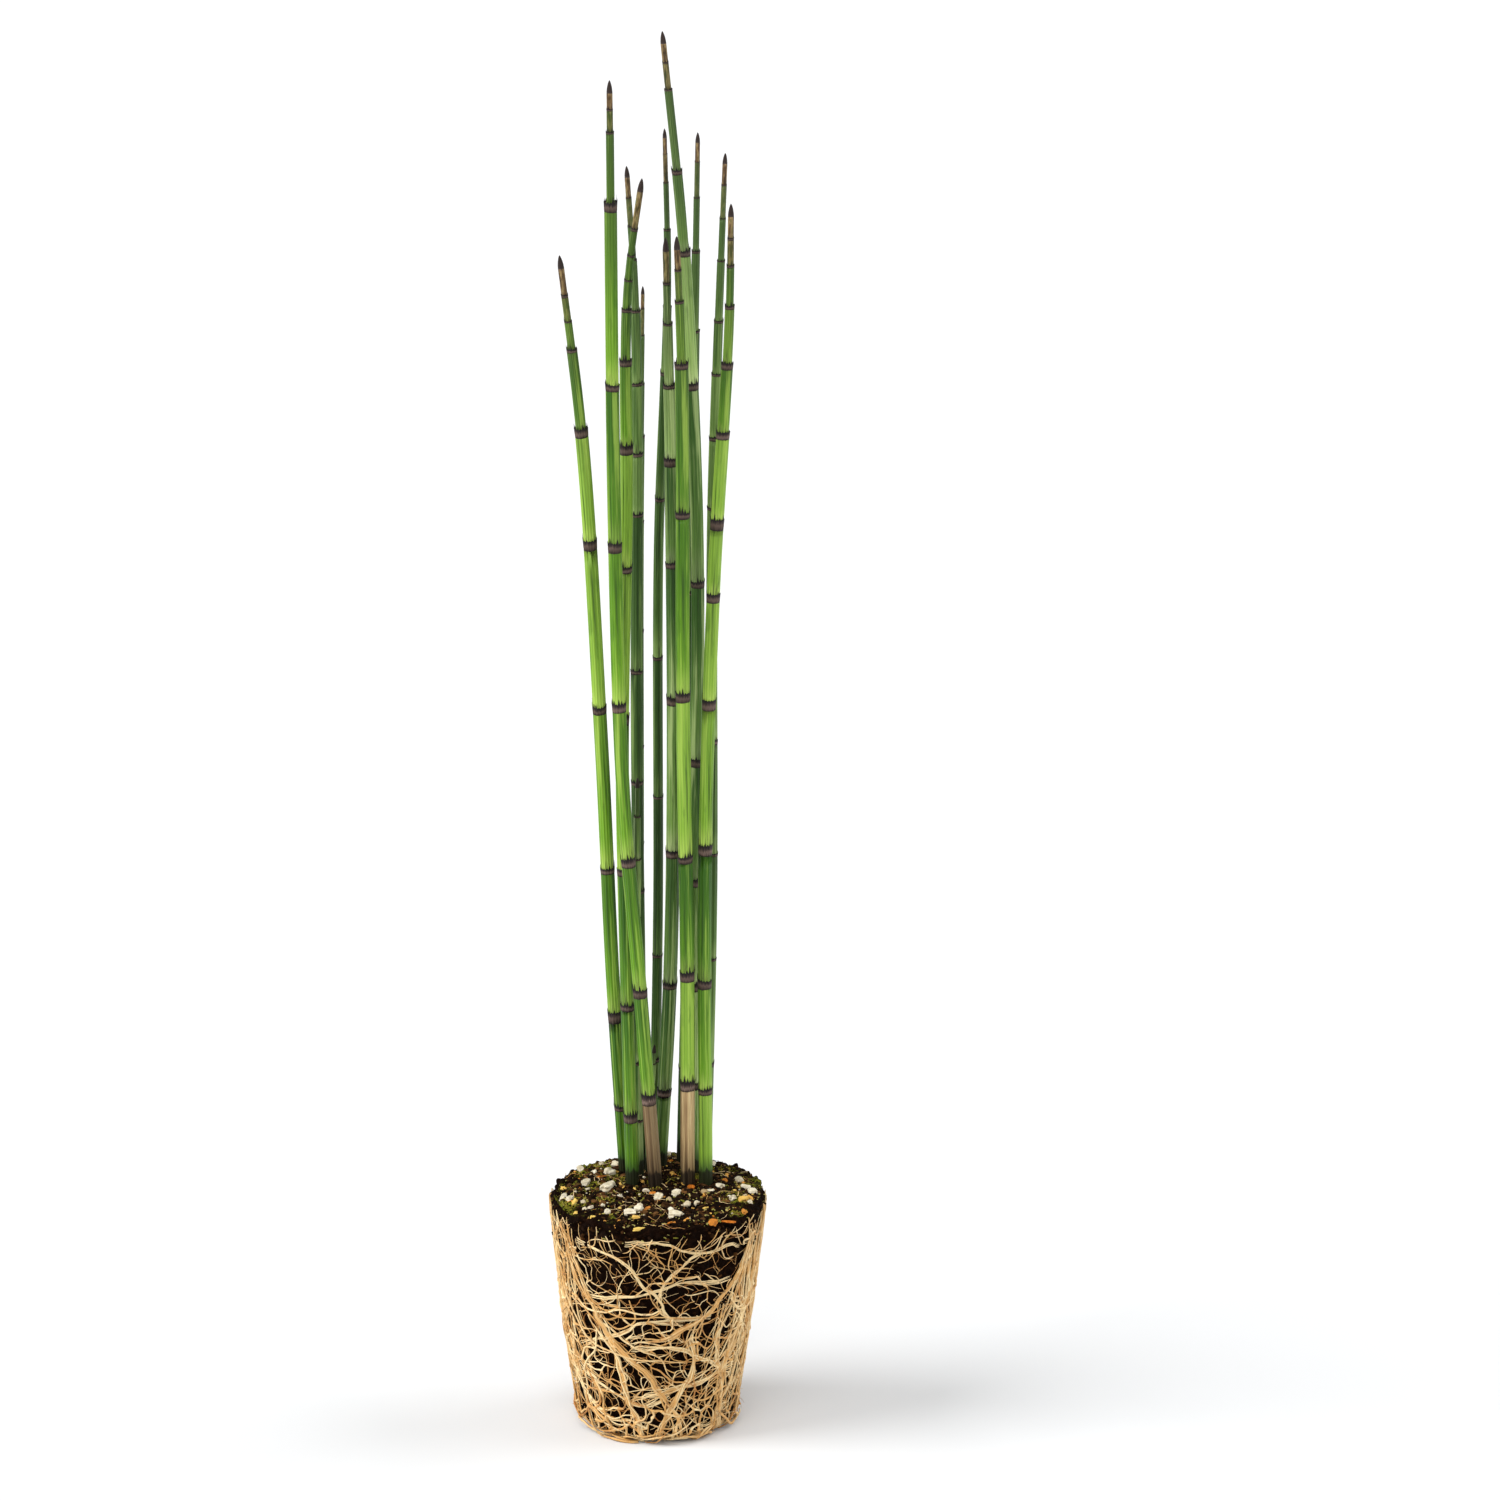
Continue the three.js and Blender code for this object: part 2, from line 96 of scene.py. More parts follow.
def unit(vectors: Array) -> Array:
    """The vectors at length one."""
    return vectors / np.maximum(np.linalg.norm(vectors, axis=-1, keepdims=True), TINY)


def stacked(*parts: Array) -> Array:
    """The parts as the last axis of one array, filled out to the shape they have together."""
    return np.stack(np.broadcast_arrays(*parts), axis=-1)


def circle(count: int) -> Array:
    """Angles that go once round in equal steps."""
    return 2 * math.pi * np.arange(count) / count


def lattice_noise(points: Array, seed: int) -> Array:
    """Smooth noise from -1 to 1: random values on a unit lattice, blended by 6t^5 - 15t^4 + 10t^3.

    Args:
        points: places to read it at, the last axis holding x, y and z.
        seed: picks another lattice.

    Returns:
        One value for each place.
    """
    base = np.floor(points).astype(np.int64)
    part = points - base
    fade = part**3 * (part * (part * 6.0 - 15.0) + 10.0)
    total = np.zeros(points.shape[:-1])
    for corner in product((0, 1), repeat=3):
        node = base + np.array(corner)
        mixed = node @ np.array(LATTICE_PRIMES) + seed * SEED_PRIME
        mixed = (mixed ^ (mixed >> 13)) * MIXING_PRIME
        value = ((mixed ^ (mixed >> 16)) & 0xFFFFFF) / 0x7FFFFF - 1.0
        total += value * np.where(np.array(corner) == 1, fade, 1.0 - fade).prod(axis=-1)
    return total


def fractal_noise(points: Array, size: float, octaves: int, seed: int) -> Array:
    """Noise of features of a size, with finer and weaker copies of itself added.

    Args:
        points: places, in millimetres.
        size: width of the largest features, in millimetres.
        octaves: how many layers, each half as wide and half as strong as the last.
        seed: picks another pattern.

    Returns:
        Values of about -1 to 1, one for each place.
    """
    layers = range(octaves)
    return sum(lattice_noise(points * (2**k / size), seed + k) / 2**k for k in layers)


def seeded_shares(seed: int) -> Iterator[float]:
    """A stream of numbers from 0 to 1 (the mulberry32 mix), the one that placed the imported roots.

    Args:
        seed: where it starts.

    Yields:
        The next number.
    """
    word = 0xFFFFFFFF
    state = seed
    while True:
        state = (state + 0x6D2B79F5) & word
        t = ((state ^ (state >> 15)) * (1 | state)) & word
        t = ((t + (((t ^ (t >> 7)) * (61 | t)) & word)) & word) ^ t
        yield ((t ^ (t >> 14)) & word) / (word + 1)


@dataclass
class Seeded:
    """What is strewn or grown by chance, always in the same way."""

    seed: int = 0

    @cached_property
    def random(self) -> Draws:
        """Its seeded draws."""
        return np.random.default_rng(self.seed)


@dataclass
class SmoothPath:
    """The centripetal Catmull-Rom curve through some points, measured along its length.

    Each stretch between two points is a cubic whose end slopes come from the neighbouring points,
    weighted by the square roots of their distances; the ends are mirrored outwards.
    """

    points: Array
    samples: int = 60
    slope_reach: float = 0.4

    def __post_init__(self) -> None:
        """Samples the curve and adds up its length."""
        given = np.asarray(self.points, float)
        row = np.vstack([2 * given[0] - given[1], given, 2 * given[-1] - given[-2]])
        p0, p1, p2, p3 = row[:-3], row[1:-2], row[2:-1], row[3:]
        roots = np.linalg.norm(np.diff(row, axis=0), axis=1)[:, None] ** 0.5
        d0, d1, d2 = roots[:-2], roots[1:-1], roots[2:]
        slope_in = ((p1 - p0) / d0 - (p2 - p0) / (d0 + d1) + (p2 - p1) / d1) * d1
        slope_out = ((p2 - p1) / d1 - (p3 - p1) / (d1 + d2) + (p3 - p2) / d2) * d1
        t = np.linspace(0, 1, self.samples, endpoint=False)[None, :, None]
        c2 = -3 * p1 + 3 * p2 - 2 * slope_in - slope_out
        c3 = 2 * p1 - 2 * p2 + slope_in + slope_out
        a, b, c, d = (part[:, None, :] for part in (p1, slope_in, c2, c3))
        line = (a + t * (b + t * (c + t * d))).reshape(-1, given.shape[1])
        self.line = np.vstack([line, given[-1]])
        steps = np.linalg.norm(np.diff(self.line, axis=0), axis=1)
        self.run = np.concatenate([[0.0], np.cumsum(steps)])

    @property
    def length(self) -> float:
        """Length of the whole curve."""
        return float(self.run[-1])

    def at(self, distance: Array) -> Array:
        """Points of the curve, which runs straight on before its start.

        Args:
            distance: millimetres along it.

        Returns:
            The points.
        """
        inside = np.clip(distance, 0, self.length)
        point = np.stack([np.interp(inside, self.run, column) for column in self.line.T], axis=-1)
        return point + np.minimum(distance, 0)[..., None] * unit(self.line[1] - self.line[0])

    def tangent(self, distance: Array) -> Array:
        """Directions of the curve at distances along it."""
        inside = np.clip(distance, self.slope_reach, self.length - self.slope_reach)
        return unit(self.at(inside + self.slope_reach) - self.at(inside - self.slope_reach))


# ---------------- meshes


@dataclass
class Skin:
    """A mesh in the making: points in millimetres, faces, and named marks for the materials."""

    points: Array
    quads: Array
    triangles: Array
    marks: dict[str, Array] = field(default_factory=dict)

    @staticmethod
    def joined(skins: list["Skin"]) -> "Skin":
        """Puts skins together.

        Args:
            skins: the skins, all with the same marks.

        Returns:
            One skin of them all.
        """
        starts = np.cumsum([0] + [len(skin.points) for skin in skins[:-1]])
        return Skin(
            np.concatenate([skin.points for skin in skins]),
            np.concatenate([skin.quads + start for skin, start in zip(skins, starts)]),
            np.concatenate([skin.triangles + start for skin, start in zip(skins, starts)]),
            {name: np.concatenate([skin.marks[name] for skin in skins]) for name in skins[0].marks},
        )

    def make(self, name: str, smooth: bool = True) -> bpy.types.Object:
        """Turns the skin into an object at the origin.

        Args:
            name: name of the object and of its mesh.
            smooth: whether its faces are shaded as one curved surface.

        Returns:
            The new object, linked to the scene.
        """
        mesh = bpy.data.meshes.new(name)
        corners = np.concatenate([self.quads.ravel(), self.triangles.ravel()]).astype(np.int32)
        counts = np.repeat([4, 3], [len(self.quads), len(self.triangles)])
        mesh.vertices.add(len(self.points))
        mesh.vertices.foreach_set("co", (self.points * MM).astype(np.float32).ravel())
        mesh.loops.add(len(corners))
        mesh.loops.foreach_set("vertex_index", corners)
        mesh.polygons.add(len(counts))
        mesh.polygons.foreach_set("loop_start", (np.cumsum(counts) - counts).astype(np.int32))
        mesh.polygons.foreach_set("use_smooth", np.full(len(counts), smooth))
        for mark, values in self.marks.items():
            kind, slot = ("FLOAT", "value") if values.ndim == 1 else ("FLOAT_VECTOR", "vector")
            layer = mesh.attributes.new(mark, kind, "POINT")
            layer.data.foreach_set(slot, values.astype(np.float32).ravel())
        mesh.update(calc_edges=True)
        mesh.validate()
        made = bpy.data.objects.new(name, mesh)
        bpy.context.scene.collection.objects.link(made)
        return made


def closed_tubes(rings: Array, poles: Array) -> tuple[Array, Array, Array]:
    """Points and faces of closed tubes, each a grid of rings with a pole at either end.

    Args:
        rings: points as (tubes, rings, points of a ring, 3), anticlockwise seen from the last ring.
        poles: points as (tubes, 2, 3), before the first ring and after the last one.

    Returns:
        Points, four-sided faces and three-sided faces.
    """
    tubes, count, sides, _ = rings.shape
    points = np.concatenate([rings.reshape(tubes, -1, 3), poles], axis=1)
    start = (np.arange(tubes) * points.shape[1])[:, None, None]
    ring = (np.arange(count - 1) * sides)[None, :, None]
    here = np.arange(sides)[None, None, :]
    ahead = (here + 1) % sides
    quads = start[..., None] + stacked(ring + here, ring + ahead, ring + sides + ahead, ring + sides + here)
    pole = count * sides
    top = pole - sides
    low = start[..., None] + stacked(pole, ahead, here)
    high = start[..., None] + stacked(pole + 1, top + here, top + ahead)
    triangles = np.concatenate([low.reshape(-1, 3), high.reshape(-1, 3)])
    return points.reshape(-1, 3), quads.reshape(-1, 4), triangles


def each_vertex(values: Array, sides: int) -> Array:
    """Values given for each ring of each tube, repeated for its points and its two poles."""
    ringed = np.repeat(values, sides, axis=1)
    return np.concatenate([ringed, values[:, :1], values[:, -1:]], axis=1).ravel()


def finished(piece: bpy.types.Object, material: Material, slot: Slot, *nodes: str) -> None:
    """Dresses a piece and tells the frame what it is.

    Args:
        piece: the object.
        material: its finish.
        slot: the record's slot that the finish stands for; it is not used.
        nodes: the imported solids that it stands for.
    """
    piece.data.materials.append(material)
    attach(piece, BODY)
    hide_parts(*nodes)
    LOG.info("%s: %d points, %d faces", piece.name, len(piece.data.vertices), len(piece.data.polygons))


# ---------------- node trees


def paint(code: str) -> tuple[float, float, float, float]:
    """A colour as the shader wants it: linear, with alpha.

    Args:
        code: the colour as six hexadecimal digits.

    Returns:
        Its red, green, blue and alpha.
    """
    shares = [int(code[k : k + 2], 16) / 255 for k in (0, 2, 4)]
    linear = [s / 12.92 if s <= 0.04045 else ((s + 0.055) / 1.055) ** 2.4 for s in shares]
    return (*linear, 1.0)


class Graph:
    """A short way to write a node tree: most methods place a node and return its output.

    What goes into a node is another node's output, a plain value or a colour's code.
    """

    # The mix node's sockets: its share, its two colours and, among its outputs, their mixture.
    SHARE, FIRST, SECOND, MIXED = 0, 6, 7, 2

    def __init__(self, tree: NodeTree) -> None:
        """Starts writing in a tree."""
        self.tree = tree

    def put(self, socket: Socket, value: object) -> None:
        """Links an output to a socket, or sets the socket.

        Args:
            socket: the socket.
            value: the output, the plain value or the colour's code.
        """
        if isinstance(value, bpy.types.NodeSocket):
            self.tree.links.new(value, socket)
        else:
            socket.default_value = paint(value) if isinstance(value, str) else value

    def node(self, kind: str, given: Given = (), **settings: object) -> bpy.types.Node:
        """Places a node.

        Args:
            kind: its type.
            given: pairs of an input's name or number and what goes into it.
            settings: its settings, which are made first.

        Returns:
            The node.
        """
        placed = self.tree.nodes.new(kind)
        for name, value in settings.items():
            setattr(placed, name, value)
        for key, value in given:
            self.put(placed.inputs[key], value)
        return placed

    def mark(self, name: str) -> Socket:
        """A named mark of the mesh, as a number."""
        return self.node("ShaderNodeAttribute", attribute_name=name).outputs["Fac"]

    def straightened(self) -> Socket:
        """The point's place on its strand as if that ran straight along Z, in millimetres."""
        return self.node("ShaderNodeAttribute", attribute_name="strand").outputs["Vector"]

    def place(self) -> Socket:
        """The point's place on the object, in metres."""
        return self.node("ShaderNodeTexCoord").outputs["Object"]

    def math(self, operation: str, *values: object, clamp: bool = False) -> Socket:
        """One sum of numbers, such as DIVIDE or MAXIMUM."""
        return self.node("ShaderNodeMath", enumerate(values), operation=operation, use_clamp=clamp).outputs[0]

    def plus(self, first: object, second: object) -> Socket:
        """Two numbers added."""
        return self.math("ADD", first, second)

    def minus(self, first: object, second: object) -> Socket:
        """The first number less the second one."""
        return self.math("SUBTRACT", first, second)

    def times(self, first: object, second: object) -> Socket:
        """Two numbers multiplied."""
        return self.math("MULTIPLY", first, second)

    def scaled(self, vector: Socket, factors: tuple[float, float, float]) -> Socket:
        """A vector times a factor along each axis."""
        given = enumerate((vector, factors))
        return self.node("ShaderNodeVectorMath", given, operation="MULTIPLY").outputs[0]

    def parts(self, vector: Socket) -> tuple[Socket, ...]:
        """A vector's x, y and z."""
        return tuple(self.node("ShaderNodeSeparateXYZ", [(0, vector)]).outputs)

    def noise(self, vector: Socket, scale: object, detail: float = 3.0, roughness: float = 0.55) -> Socket:
        """Cloudy noise from 0 to 1."""
        given = {"Vector": vector, "Scale": scale, "Detail": detail, "Roughness": roughness}
        return self.node("ShaderNodeTexNoise", given.items()).outputs["Fac"]

    def crumbs(self, vector: Socket, scale: float) -> Socket:
        """Crumb-like cells, as the distance from the middle of each."""
        given = {"Vector": vector, "Scale": scale}
        return self.node("ShaderNodeTexVoronoi", given.items()).outputs["Distance"]

    def span(
        self, value: Socket, low: object, high: object, to_low: float = 0.0, to_high: float = 1.0
    ) -> Socket:
        """Maps a range of a number smoothly to another range."""
        given = enumerate((value, low, high, to_low, to_high))
        return self.node("ShaderNodeMapRange", given, interpolation_type="SMOOTHSTEP").outputs[0]

    def mix(self, share: object, first: object, second: object) -> Socket:
        """Two colours mixed by a share."""
        given = ((self.SHARE, share), (self.FIRST, first), (self.SECOND, second))
        return self.node("ShaderNodeMix", given, data_type="RGBA", clamp_factor=True).outputs[self.MIXED]

    def ramp(self, value: Socket, stops: Stops) -> Socket:
        """Colours along a number from 0 to 1.

        Args:
            value: the number.
            stops: pairs of a place and a colour's code.

        Returns:
            The colour.
        """
        placed = self.node("ShaderNodeValToRGB", [(0, value)])
        bar = placed.color_ramp.elements
        while len(bar) < len(stops):
            bar.new(1.0)
        for element, (place, code) in zip(bar, stops):
            element.position = place
            element.color = paint(code)
        return placed.outputs[0]

    def use(self, effect: NodeTree, **inputs: object) -> bpy.types.NodeOutputs:
        """Outputs of a shared effect with its inputs."""
        return self.node("ShaderNodeGroup", inputs.items(), node_tree=effect).outputs

    def streaks(self, strand: Socket, width: float, length: float) -> Socket:
        """Streaks along a straightened strand, of a width and a length in millimetres."""
        return self.use(streak_effect(), Vector=strand, Width=width, Length=length)["Mask"]

    def clouds(self, width: float, edge: float, low: str, high: str) -> tuple[Socket, Socket]:
        """Two colours in clouds of a width in metres, and the share of the second colour."""
        made = self.use(mottle_effect(), Vector=self.place(), Width=width, Edge=edge, Low=low, High=high)
        return made["Color"], made["Mask"]


class Effect(Graph):
    """A shader node group in the making, with named inputs and outputs."""

    KINDS = {"number": "NodeSocketFloat", "vector": "NodeSocketVector", "colour": "NodeSocketColor"}

    def __init__(self, name: str, inputs: dict[str, str], outputs: dict[str, str]) -> None:
        """Makes the group's sockets.

        Args:
            name: the effect's name.
            inputs: kind of each input, by name.
            outputs: kind of each output, by name.
        """
        super().__init__(bpy.data.node_groups.new(name, "ShaderNodeTree"))
        for side, sockets in (("INPUT", inputs), ("OUTPUT", outputs)):
            for label, kind in sockets.items():
                self.tree.interface.new_socket(label, in_out=side, socket_type=self.KINDS[kind])
        self.given = self.node("NodeGroupInput").outputs

    def closed(self, **outputs: Socket) -> NodeTree:
        """Links the group's outputs and returns the group."""
        self.node("NodeGroupOutput", outputs.items())
        return self.tree


@lru_cache(None)
def mottle_effect() -> NodeTree:
    """Two colours in clouds. Width is the clouds' size in metres, Edge how sharply they part.

    Returns:
        The effect, made once.
    """
    inputs = {"Vector": "vector", "Width": "number", "Edge": "number", "Low": "colour", "High": "colour"}
    g = Effect("Mottle", inputs, {"Color": "colour", "Mask": "number"})
    cloud = g.noise(g.given["Vector"], g.math("DIVIDE", 1.0, g.given["Width"]), 5.0, 0.6)
    half = g.minus(0.5, g.times(g.given["Edge"], 0.45))
    mask = g.span(cloud, half, g.minus(1.0, half))
    return g.closed(Color=g.mix(mask, g.given["Low"], g.given["High"]), Mask=mask)


@lru_cache(None)
def streak_effect() -> NodeTree:
    """Streaks along a strand. Vector is the straightened strand, Width and Length a streak's size.

    Returns:
        The effect, made once.
    """
    inputs = {"Vector": "vector", "Width": "number", "Length": "number"}
    g = Effect("Lengthwise Streaks", inputs, {"Mask": "number"})
    x, y, z = g.parts(g.given["Vector"])
    sizes = ((x, "Width"), (y, "Width"), (z, "Length"))
    drawn = [g.math("DIVIDE", part, g.given[size]) for part, size in sizes]
    drawn = g.node("ShaderNodeCombineXYZ", enumerate(drawn)).outputs[0]
    return g.closed(Mask=g.noise(drawn, 1.0, 4.0, 0.6))


@lru_cache(None)
def sheath_effect() -> NodeTree:
    """Colours of a toothed sheath, from the dark line at its foot to its black teeth.

    Sheath runs from 0 below the sheath to 1 at the tips of its teeth.

    Returns:
        The effect, made once.
    """
    inputs = {"Sheath": "number", "Vector": "vector", "Age": "number"}
    g = Effect("Sheath Bands", inputs, {"Color": "colour", "Mask": "number"})
    sheath, strand = g.given["Sheath"], g.given["Vector"]
    ragged = g.minus(g.times(g.streaks(strand, 0.55, 4.0), 0.5), 0.25)
    across = g.math("ADD", sheath, ragged, clamp=True)
    patch = g.span(g.noise(g.scaled(strand, (0.14, 0.14, 0.3)), 1.0), 0.38, 0.62)
    age = g.math("MAXIMUM", g.given["Age"], g.times(patch, 0.6))
    colour = g.mix(age, g.ramp(across, SHEATH_YOUNG), g.ramp(across, SHEATH_OLD))
    lined = g.mix(g.span(sheath, 0.02, 0.16, 0.25, 1.0), FOOT_LINE, colour)
    return g.closed(Color=lined, Mask=g.span(sheath, 0.012, 0.05))


class Coat(Graph):
    """A new material in the making, with a Principled shader."""

    def __init__(self, name: str) -> None:
        """Starts the material.

        Args:
            name: its name.
        """
        self.made = bpy.data.materials.new(name)
        self.made.use_nodes = True
        super().__init__(self.made.node_tree)

    def done(
        self, colour: Socket, roughness: Socket, height: Socket, depth: float, shine: float = 0.5
    ) -> Material:
        """Ends the material with what its shader takes.

        Args:
            colour: its colour.
            roughness: how dull it is, from 0 to 1.
            height: its fine relief.
            depth: the relief's depth, in metres.
            shine: strength of its gloss.

        Returns:
            The material.
        """
        shader = next(n for n in self.tree.nodes if n.type == "BSDF_PRINCIPLED")
        bump = self.node("ShaderNodeBump", (("Distance", depth), ("Height", height)))
        given = {"Base Color": colour, "Roughness": roughness, "Specular IOR Level": shine}
        for name, value in {**given, "Normal": bump.outputs[0]}.items():
            self.put(shader.inputs[name], value)
        return self.made


# ---------------- finishes

# Colours along a number, each at its place: up a sheath from its foot to its teeth, over ripe and
# dead skin, and among the crumbs of the mix.
SHEATH_YOUNG = (
    (0.05, "2a2019"),
    (0.16, "66544a"),
    (0.3, "7a665c"),
    (0.43, "493a34"),
    (0.54, "1e1716"),
    (1.0, "110d0c"),
)
SHEATH_OLD = ((0.05, "1d1612"), (0.25, "46382f"), (0.4, "57473e"), (0.55, "1f1816"), (1.0, "100c0b"))
RIPE_SKIN = ((0.36, "20150d"), (0.44, "4a2f1f"), (0.5, "6e5236"), (0.56, "9c8258"), (0.63, "4d5328"))
DEAD_SKIN = ((0.34, "66502f"), (0.44, "907450"), (0.53, "b89d70"), (0.64, "e0cd9c"))
MIX_CRUMBS = ((0.5, "090402"), (0.62, "241308"), (0.76, "5a391b"))
FOOT_LINE = "1a120e"  # the dark line under a sheath


class StemCoat(Coat):
    """A stem's coat, with the marks and streaks that its layers share."""

    def __init__(self, name: str) -> None:
        """Starts the coat with its broad bands and its fine streaks.

        Args:
            name: the material's name.
        """
        super().__init__(name)
        self.strand = self.straightened()
        self.tone = self.mark("tone")
        self.ridge = self.mark("ridge")
        # On the living green these broad bands are painted highlight and painted shade down the stem.
        self.bands = self.streaks(self.strand, 2.9, 110.0)
        self.fine = self.streaks(self.strand, 0.42, 16.0)


@dataclass(frozen=True)
class StemFinish:
    """Finish of a stem: internodes pale at their foot, dark sheaths, tan tips, dead papery feet."""

    name: str
    pale: str
    fresh: str
    deep: str
    groove: str
    worn: str
    foot: str = "243d1c"
    hair: str = "1d1713"
    tip: str = "17110f"
    tip_streak: str = "3f302a"
    dead_shade: str = "57452f"
    dead_foot: str = "241a12"
    soil: str = "15100b"

    def material(self) -> Material:
        """Builds the finish, layer over layer.

        Returns:
            The material.
        """
        g = StemCoat(self.name)
        colour = self._low(g, self._green(g))
        colour = g.mix(g.mark("ripe"), colour, self._ripe(g))
        colour = g.mix(g.mark("dead"), colour, self._dead(g))
        colour = g.mix(self._hairs(g), colour, self.hair)
        sheath = g.use(sheath_effect(), Sheath=g.mark("sheath"), Vector=g.strand, Age=g.mark("age"))
        colour = g.mix(sheath["Mask"], colour, sheath["Color"])
        colour = g.mix(g.mark("cone"), colour, g.mix(g.fine, self.tip, self.tip_streak))
        colour = g.mix(self._soiled(g), colour, self.soil)
        dull = g.times(sheath["Mask"], 0.2)
        roughness = g.plus(g.span(g.bands, 0.3, 0.7, 0.38, 0.52), dull)
        height = g.plus(g.fine, g.times(g.ridge, 0.8))
        return g.done(colour, roughness, height, 0.00016, shine=0.22)

    def _green(self, g: StemCoat) -> Socket:
        """Living internode: pale foot, deep top, bands of painted highlight and shade, greyer towards the
        tip.

        Args:
            g: the coat.

        Returns:
            The colour.
        """
        run = g.plus(g.mark("internode"), g.times(g.minus(g.bands, 0.5), 0.6))
        foot = g.mix(g.span(run, 0.0, 0.22), self.pale, self.fresh)
        # All that follows the tone here is partly the internode's own colour and partly painted shade.
        depth = g.times(g.span(run, 0.15, 0.95), g.span(g.tone, 0.0, 1.0, 0.3, 1.0))
        colour = g.mix(depth, foot, self.deep)
        blotch = g.noise(g.scaled(g.strand, (0.25, 0.25, 0.06)), 1.0, 4.0)
        # Each layer: what it follows, where that starts it and has it full, its full share, its colour.
        for value, start, full, share, layer in (
            (g.tone, 0.35, 0.0, 0.35, self.pale),
            (g.tone, 0.1, 1.0, 0.68, self.deep),
            (g.mark("share"), 0.72, 0.96, 0.85, self.worn),
            # The next three layers are painted light: shade in the grooves, and broad bands of highlight and
            # shade.
            (g.ridge, 0.55, 0.05, 0.24, self.groove),
            (g.bands, 0.52, 0.64, 0.55, self.pale),
            (g.bands, 0.48, 0.36, 0.74, self.groove),
            (g.fine, 0.56, 0.72, 0.09, self.pale),
            (blotch, 0.56, 0.72, 0.4, self.deep),
        ):
            colour = g.mix(g.span(value, start, full, 0.0, share), colour, layer)
        return colour

    def _low(self, g: StemCoat, green: Socket) -> Socket:
        """The stem just above the ground: darker and bluer, with a ragged upper edge."""
        ragged = g.plus(g.parts(g.strand)[2], g.times(g.fine, -9.0))
        return g.mix(g.span(ragged, 12.0, 1.5, 0.0, 0.8), green, self.foot)

    def _ripe(self, g: StemCoat) -> Socket:
        """Grey-brown, tan and olive of the short internodes near the tip."""
        patch = g.times(g.noise(g.scaled(g.strand, (0.3, 0.3, 0.16)), 1.0), 0.7)
        return g.ramp(g.plus(patch, g.times(g.bands, 0.3)), RIPE_SKIN)

    def _dead(self, g: StemCoat) -> Socket:
        """Dry papery skin, brown to straw in long streaks, dark at its foot.

        Args:
            g: the coat.

        Returns:
            The colour.
        """
        streaked = g.plus(g.times(g.bands, 0.7), g.times(g.fine, 0.3))
        # The tone darkens dead skin towards dead_shade: partly its own colour, partly painted shade.
        dulled = g.mix(g.span(g.tone, 0.0, 1.0, 0.0, 0.75), g.ramp(streaked, DEAD_SKIN), self.dead_shade)
        low = g.span(g.parts(g.strand)[2], 24.0, 3.0, 0.0, 0.9)
        return g.mix(g.times(low, g.span(g.bands, 0.62, 0.4)), dulled, self.dead_foot)

    def _hairs(self, g: StemCoat) -> Socket:
        """Share of the dark hair-thin streaks that a sheath's teeth leave on the stem above it.

        Args:
            g: the coat.

        Returns:
            The share, from 0 to 1.
        """
        reach = g.span(g.noise(g.scaled(g.strand, (0.35, 0.35, 0.02)), 1.0), 0.4, 0.65, 1.5, 11.0)
        hair = g.span(g.streaks(g.strand, 0.3, 12.0), 0.5, 0.6, 0.0, 0.9)
        return g.times(g.span(g.mark("rise"), reach, 0.3), hair)

    def _soiled(self, g: StemCoat) -> Socket:
        """Share of wet soil on the skin just above the ground, with a jagged upper edge."""
        jagged = g.times(g.noise(g.scaled(g.strand, (0.8, 0.8, 0.12)), 1.0, 4.0), 14.0)
        return g.span(g.minus(g.parts(g.strand)[2], jagged), 0.6, -0.8, 0.0, 0.88)


class Green(Enum):
    """How a stem is coloured: young and sunlit, full grown, or with painted shade of the clump."""

    LIGHT = StemFinish("sunlit stem", "a4c352", "6a9a1c", "305c0c", "183806", "40591f")
    MIDDLE = StemFinish("grown stem", "c0d48c", "84a850", "34581c", "1c370f", "44582a")
    # DARK's greens are painted shade: darker copies for the stems at the back of the clump.
    DARK = StemFinish("painted shade stem", "88a35a", "527230", "2d4a18", "162a0c", "486030")


@dataclass(frozen=True)
class MixFinish:
    """Moist potting mix: nearly black peat with brown crumbs, moss where the moss mark is high."""

    name: str = "potting mix"
    wet: str = "080301"
    dry: str = "1c0d05"
    moss: str = "4d5717"
    moss_light: str = "8f8b2c"

    def material(self) -> Material:
        """Builds the finish.

        Returns:
            The material.
        """
        g = Coat(self.name)
        place = g.place()
        peat, dryness = g.clouds(0.004, 0.7, self.wet, self.dry)
        peat = g.mix(0.5, peat, g.ramp(g.noise(place, 520.0, 6.0, 0.72), MIX_CRUMBS))
        green, _ = g.clouds(0.0016, 0.5, self.moss, self.moss_light)
        cover = g.times(g.mark("moss"), g.span(g.noise(place, 900.0, 4.0), 0.42, 0.55))
        roughness = g.span(dryness, 0.0, 1.0, 0.6, 0.95)
        crumbs = g.times(g.crumbs(place, 700.0), 0.8)
        height = g.plus(g.noise(place, 1300.0, 5.0, 0.65), crumbs)
        return g.done(g.mix(cover, peat, green), roughness, height, 0.0006, shine=0.03)


@dataclass(frozen=True)
class LitterFinish:
    """A finish for the many small bits in the mix: two colours in clouds, and a third by tone."""

    name: str
    low: str
    high: str
    other: str
    width: float
    roughness: Span
    relief: float

    def material(self) -> Material:
        """Builds the finish.

        Returns:
            The material.
        """
        g = Coat(self.name)
        clouds, share = g.clouds(self.width, 0.6, self.low, self.high)
        colour = g.mix(g.mark("tone"), clouds, self.other)
        height = g.noise(g.place(), 2.2 / self.width, 4.0)
        return g.done(colour, g.span(share, 0.0, 1.0, *self.roughness), height, self.relief, shine=0.06)


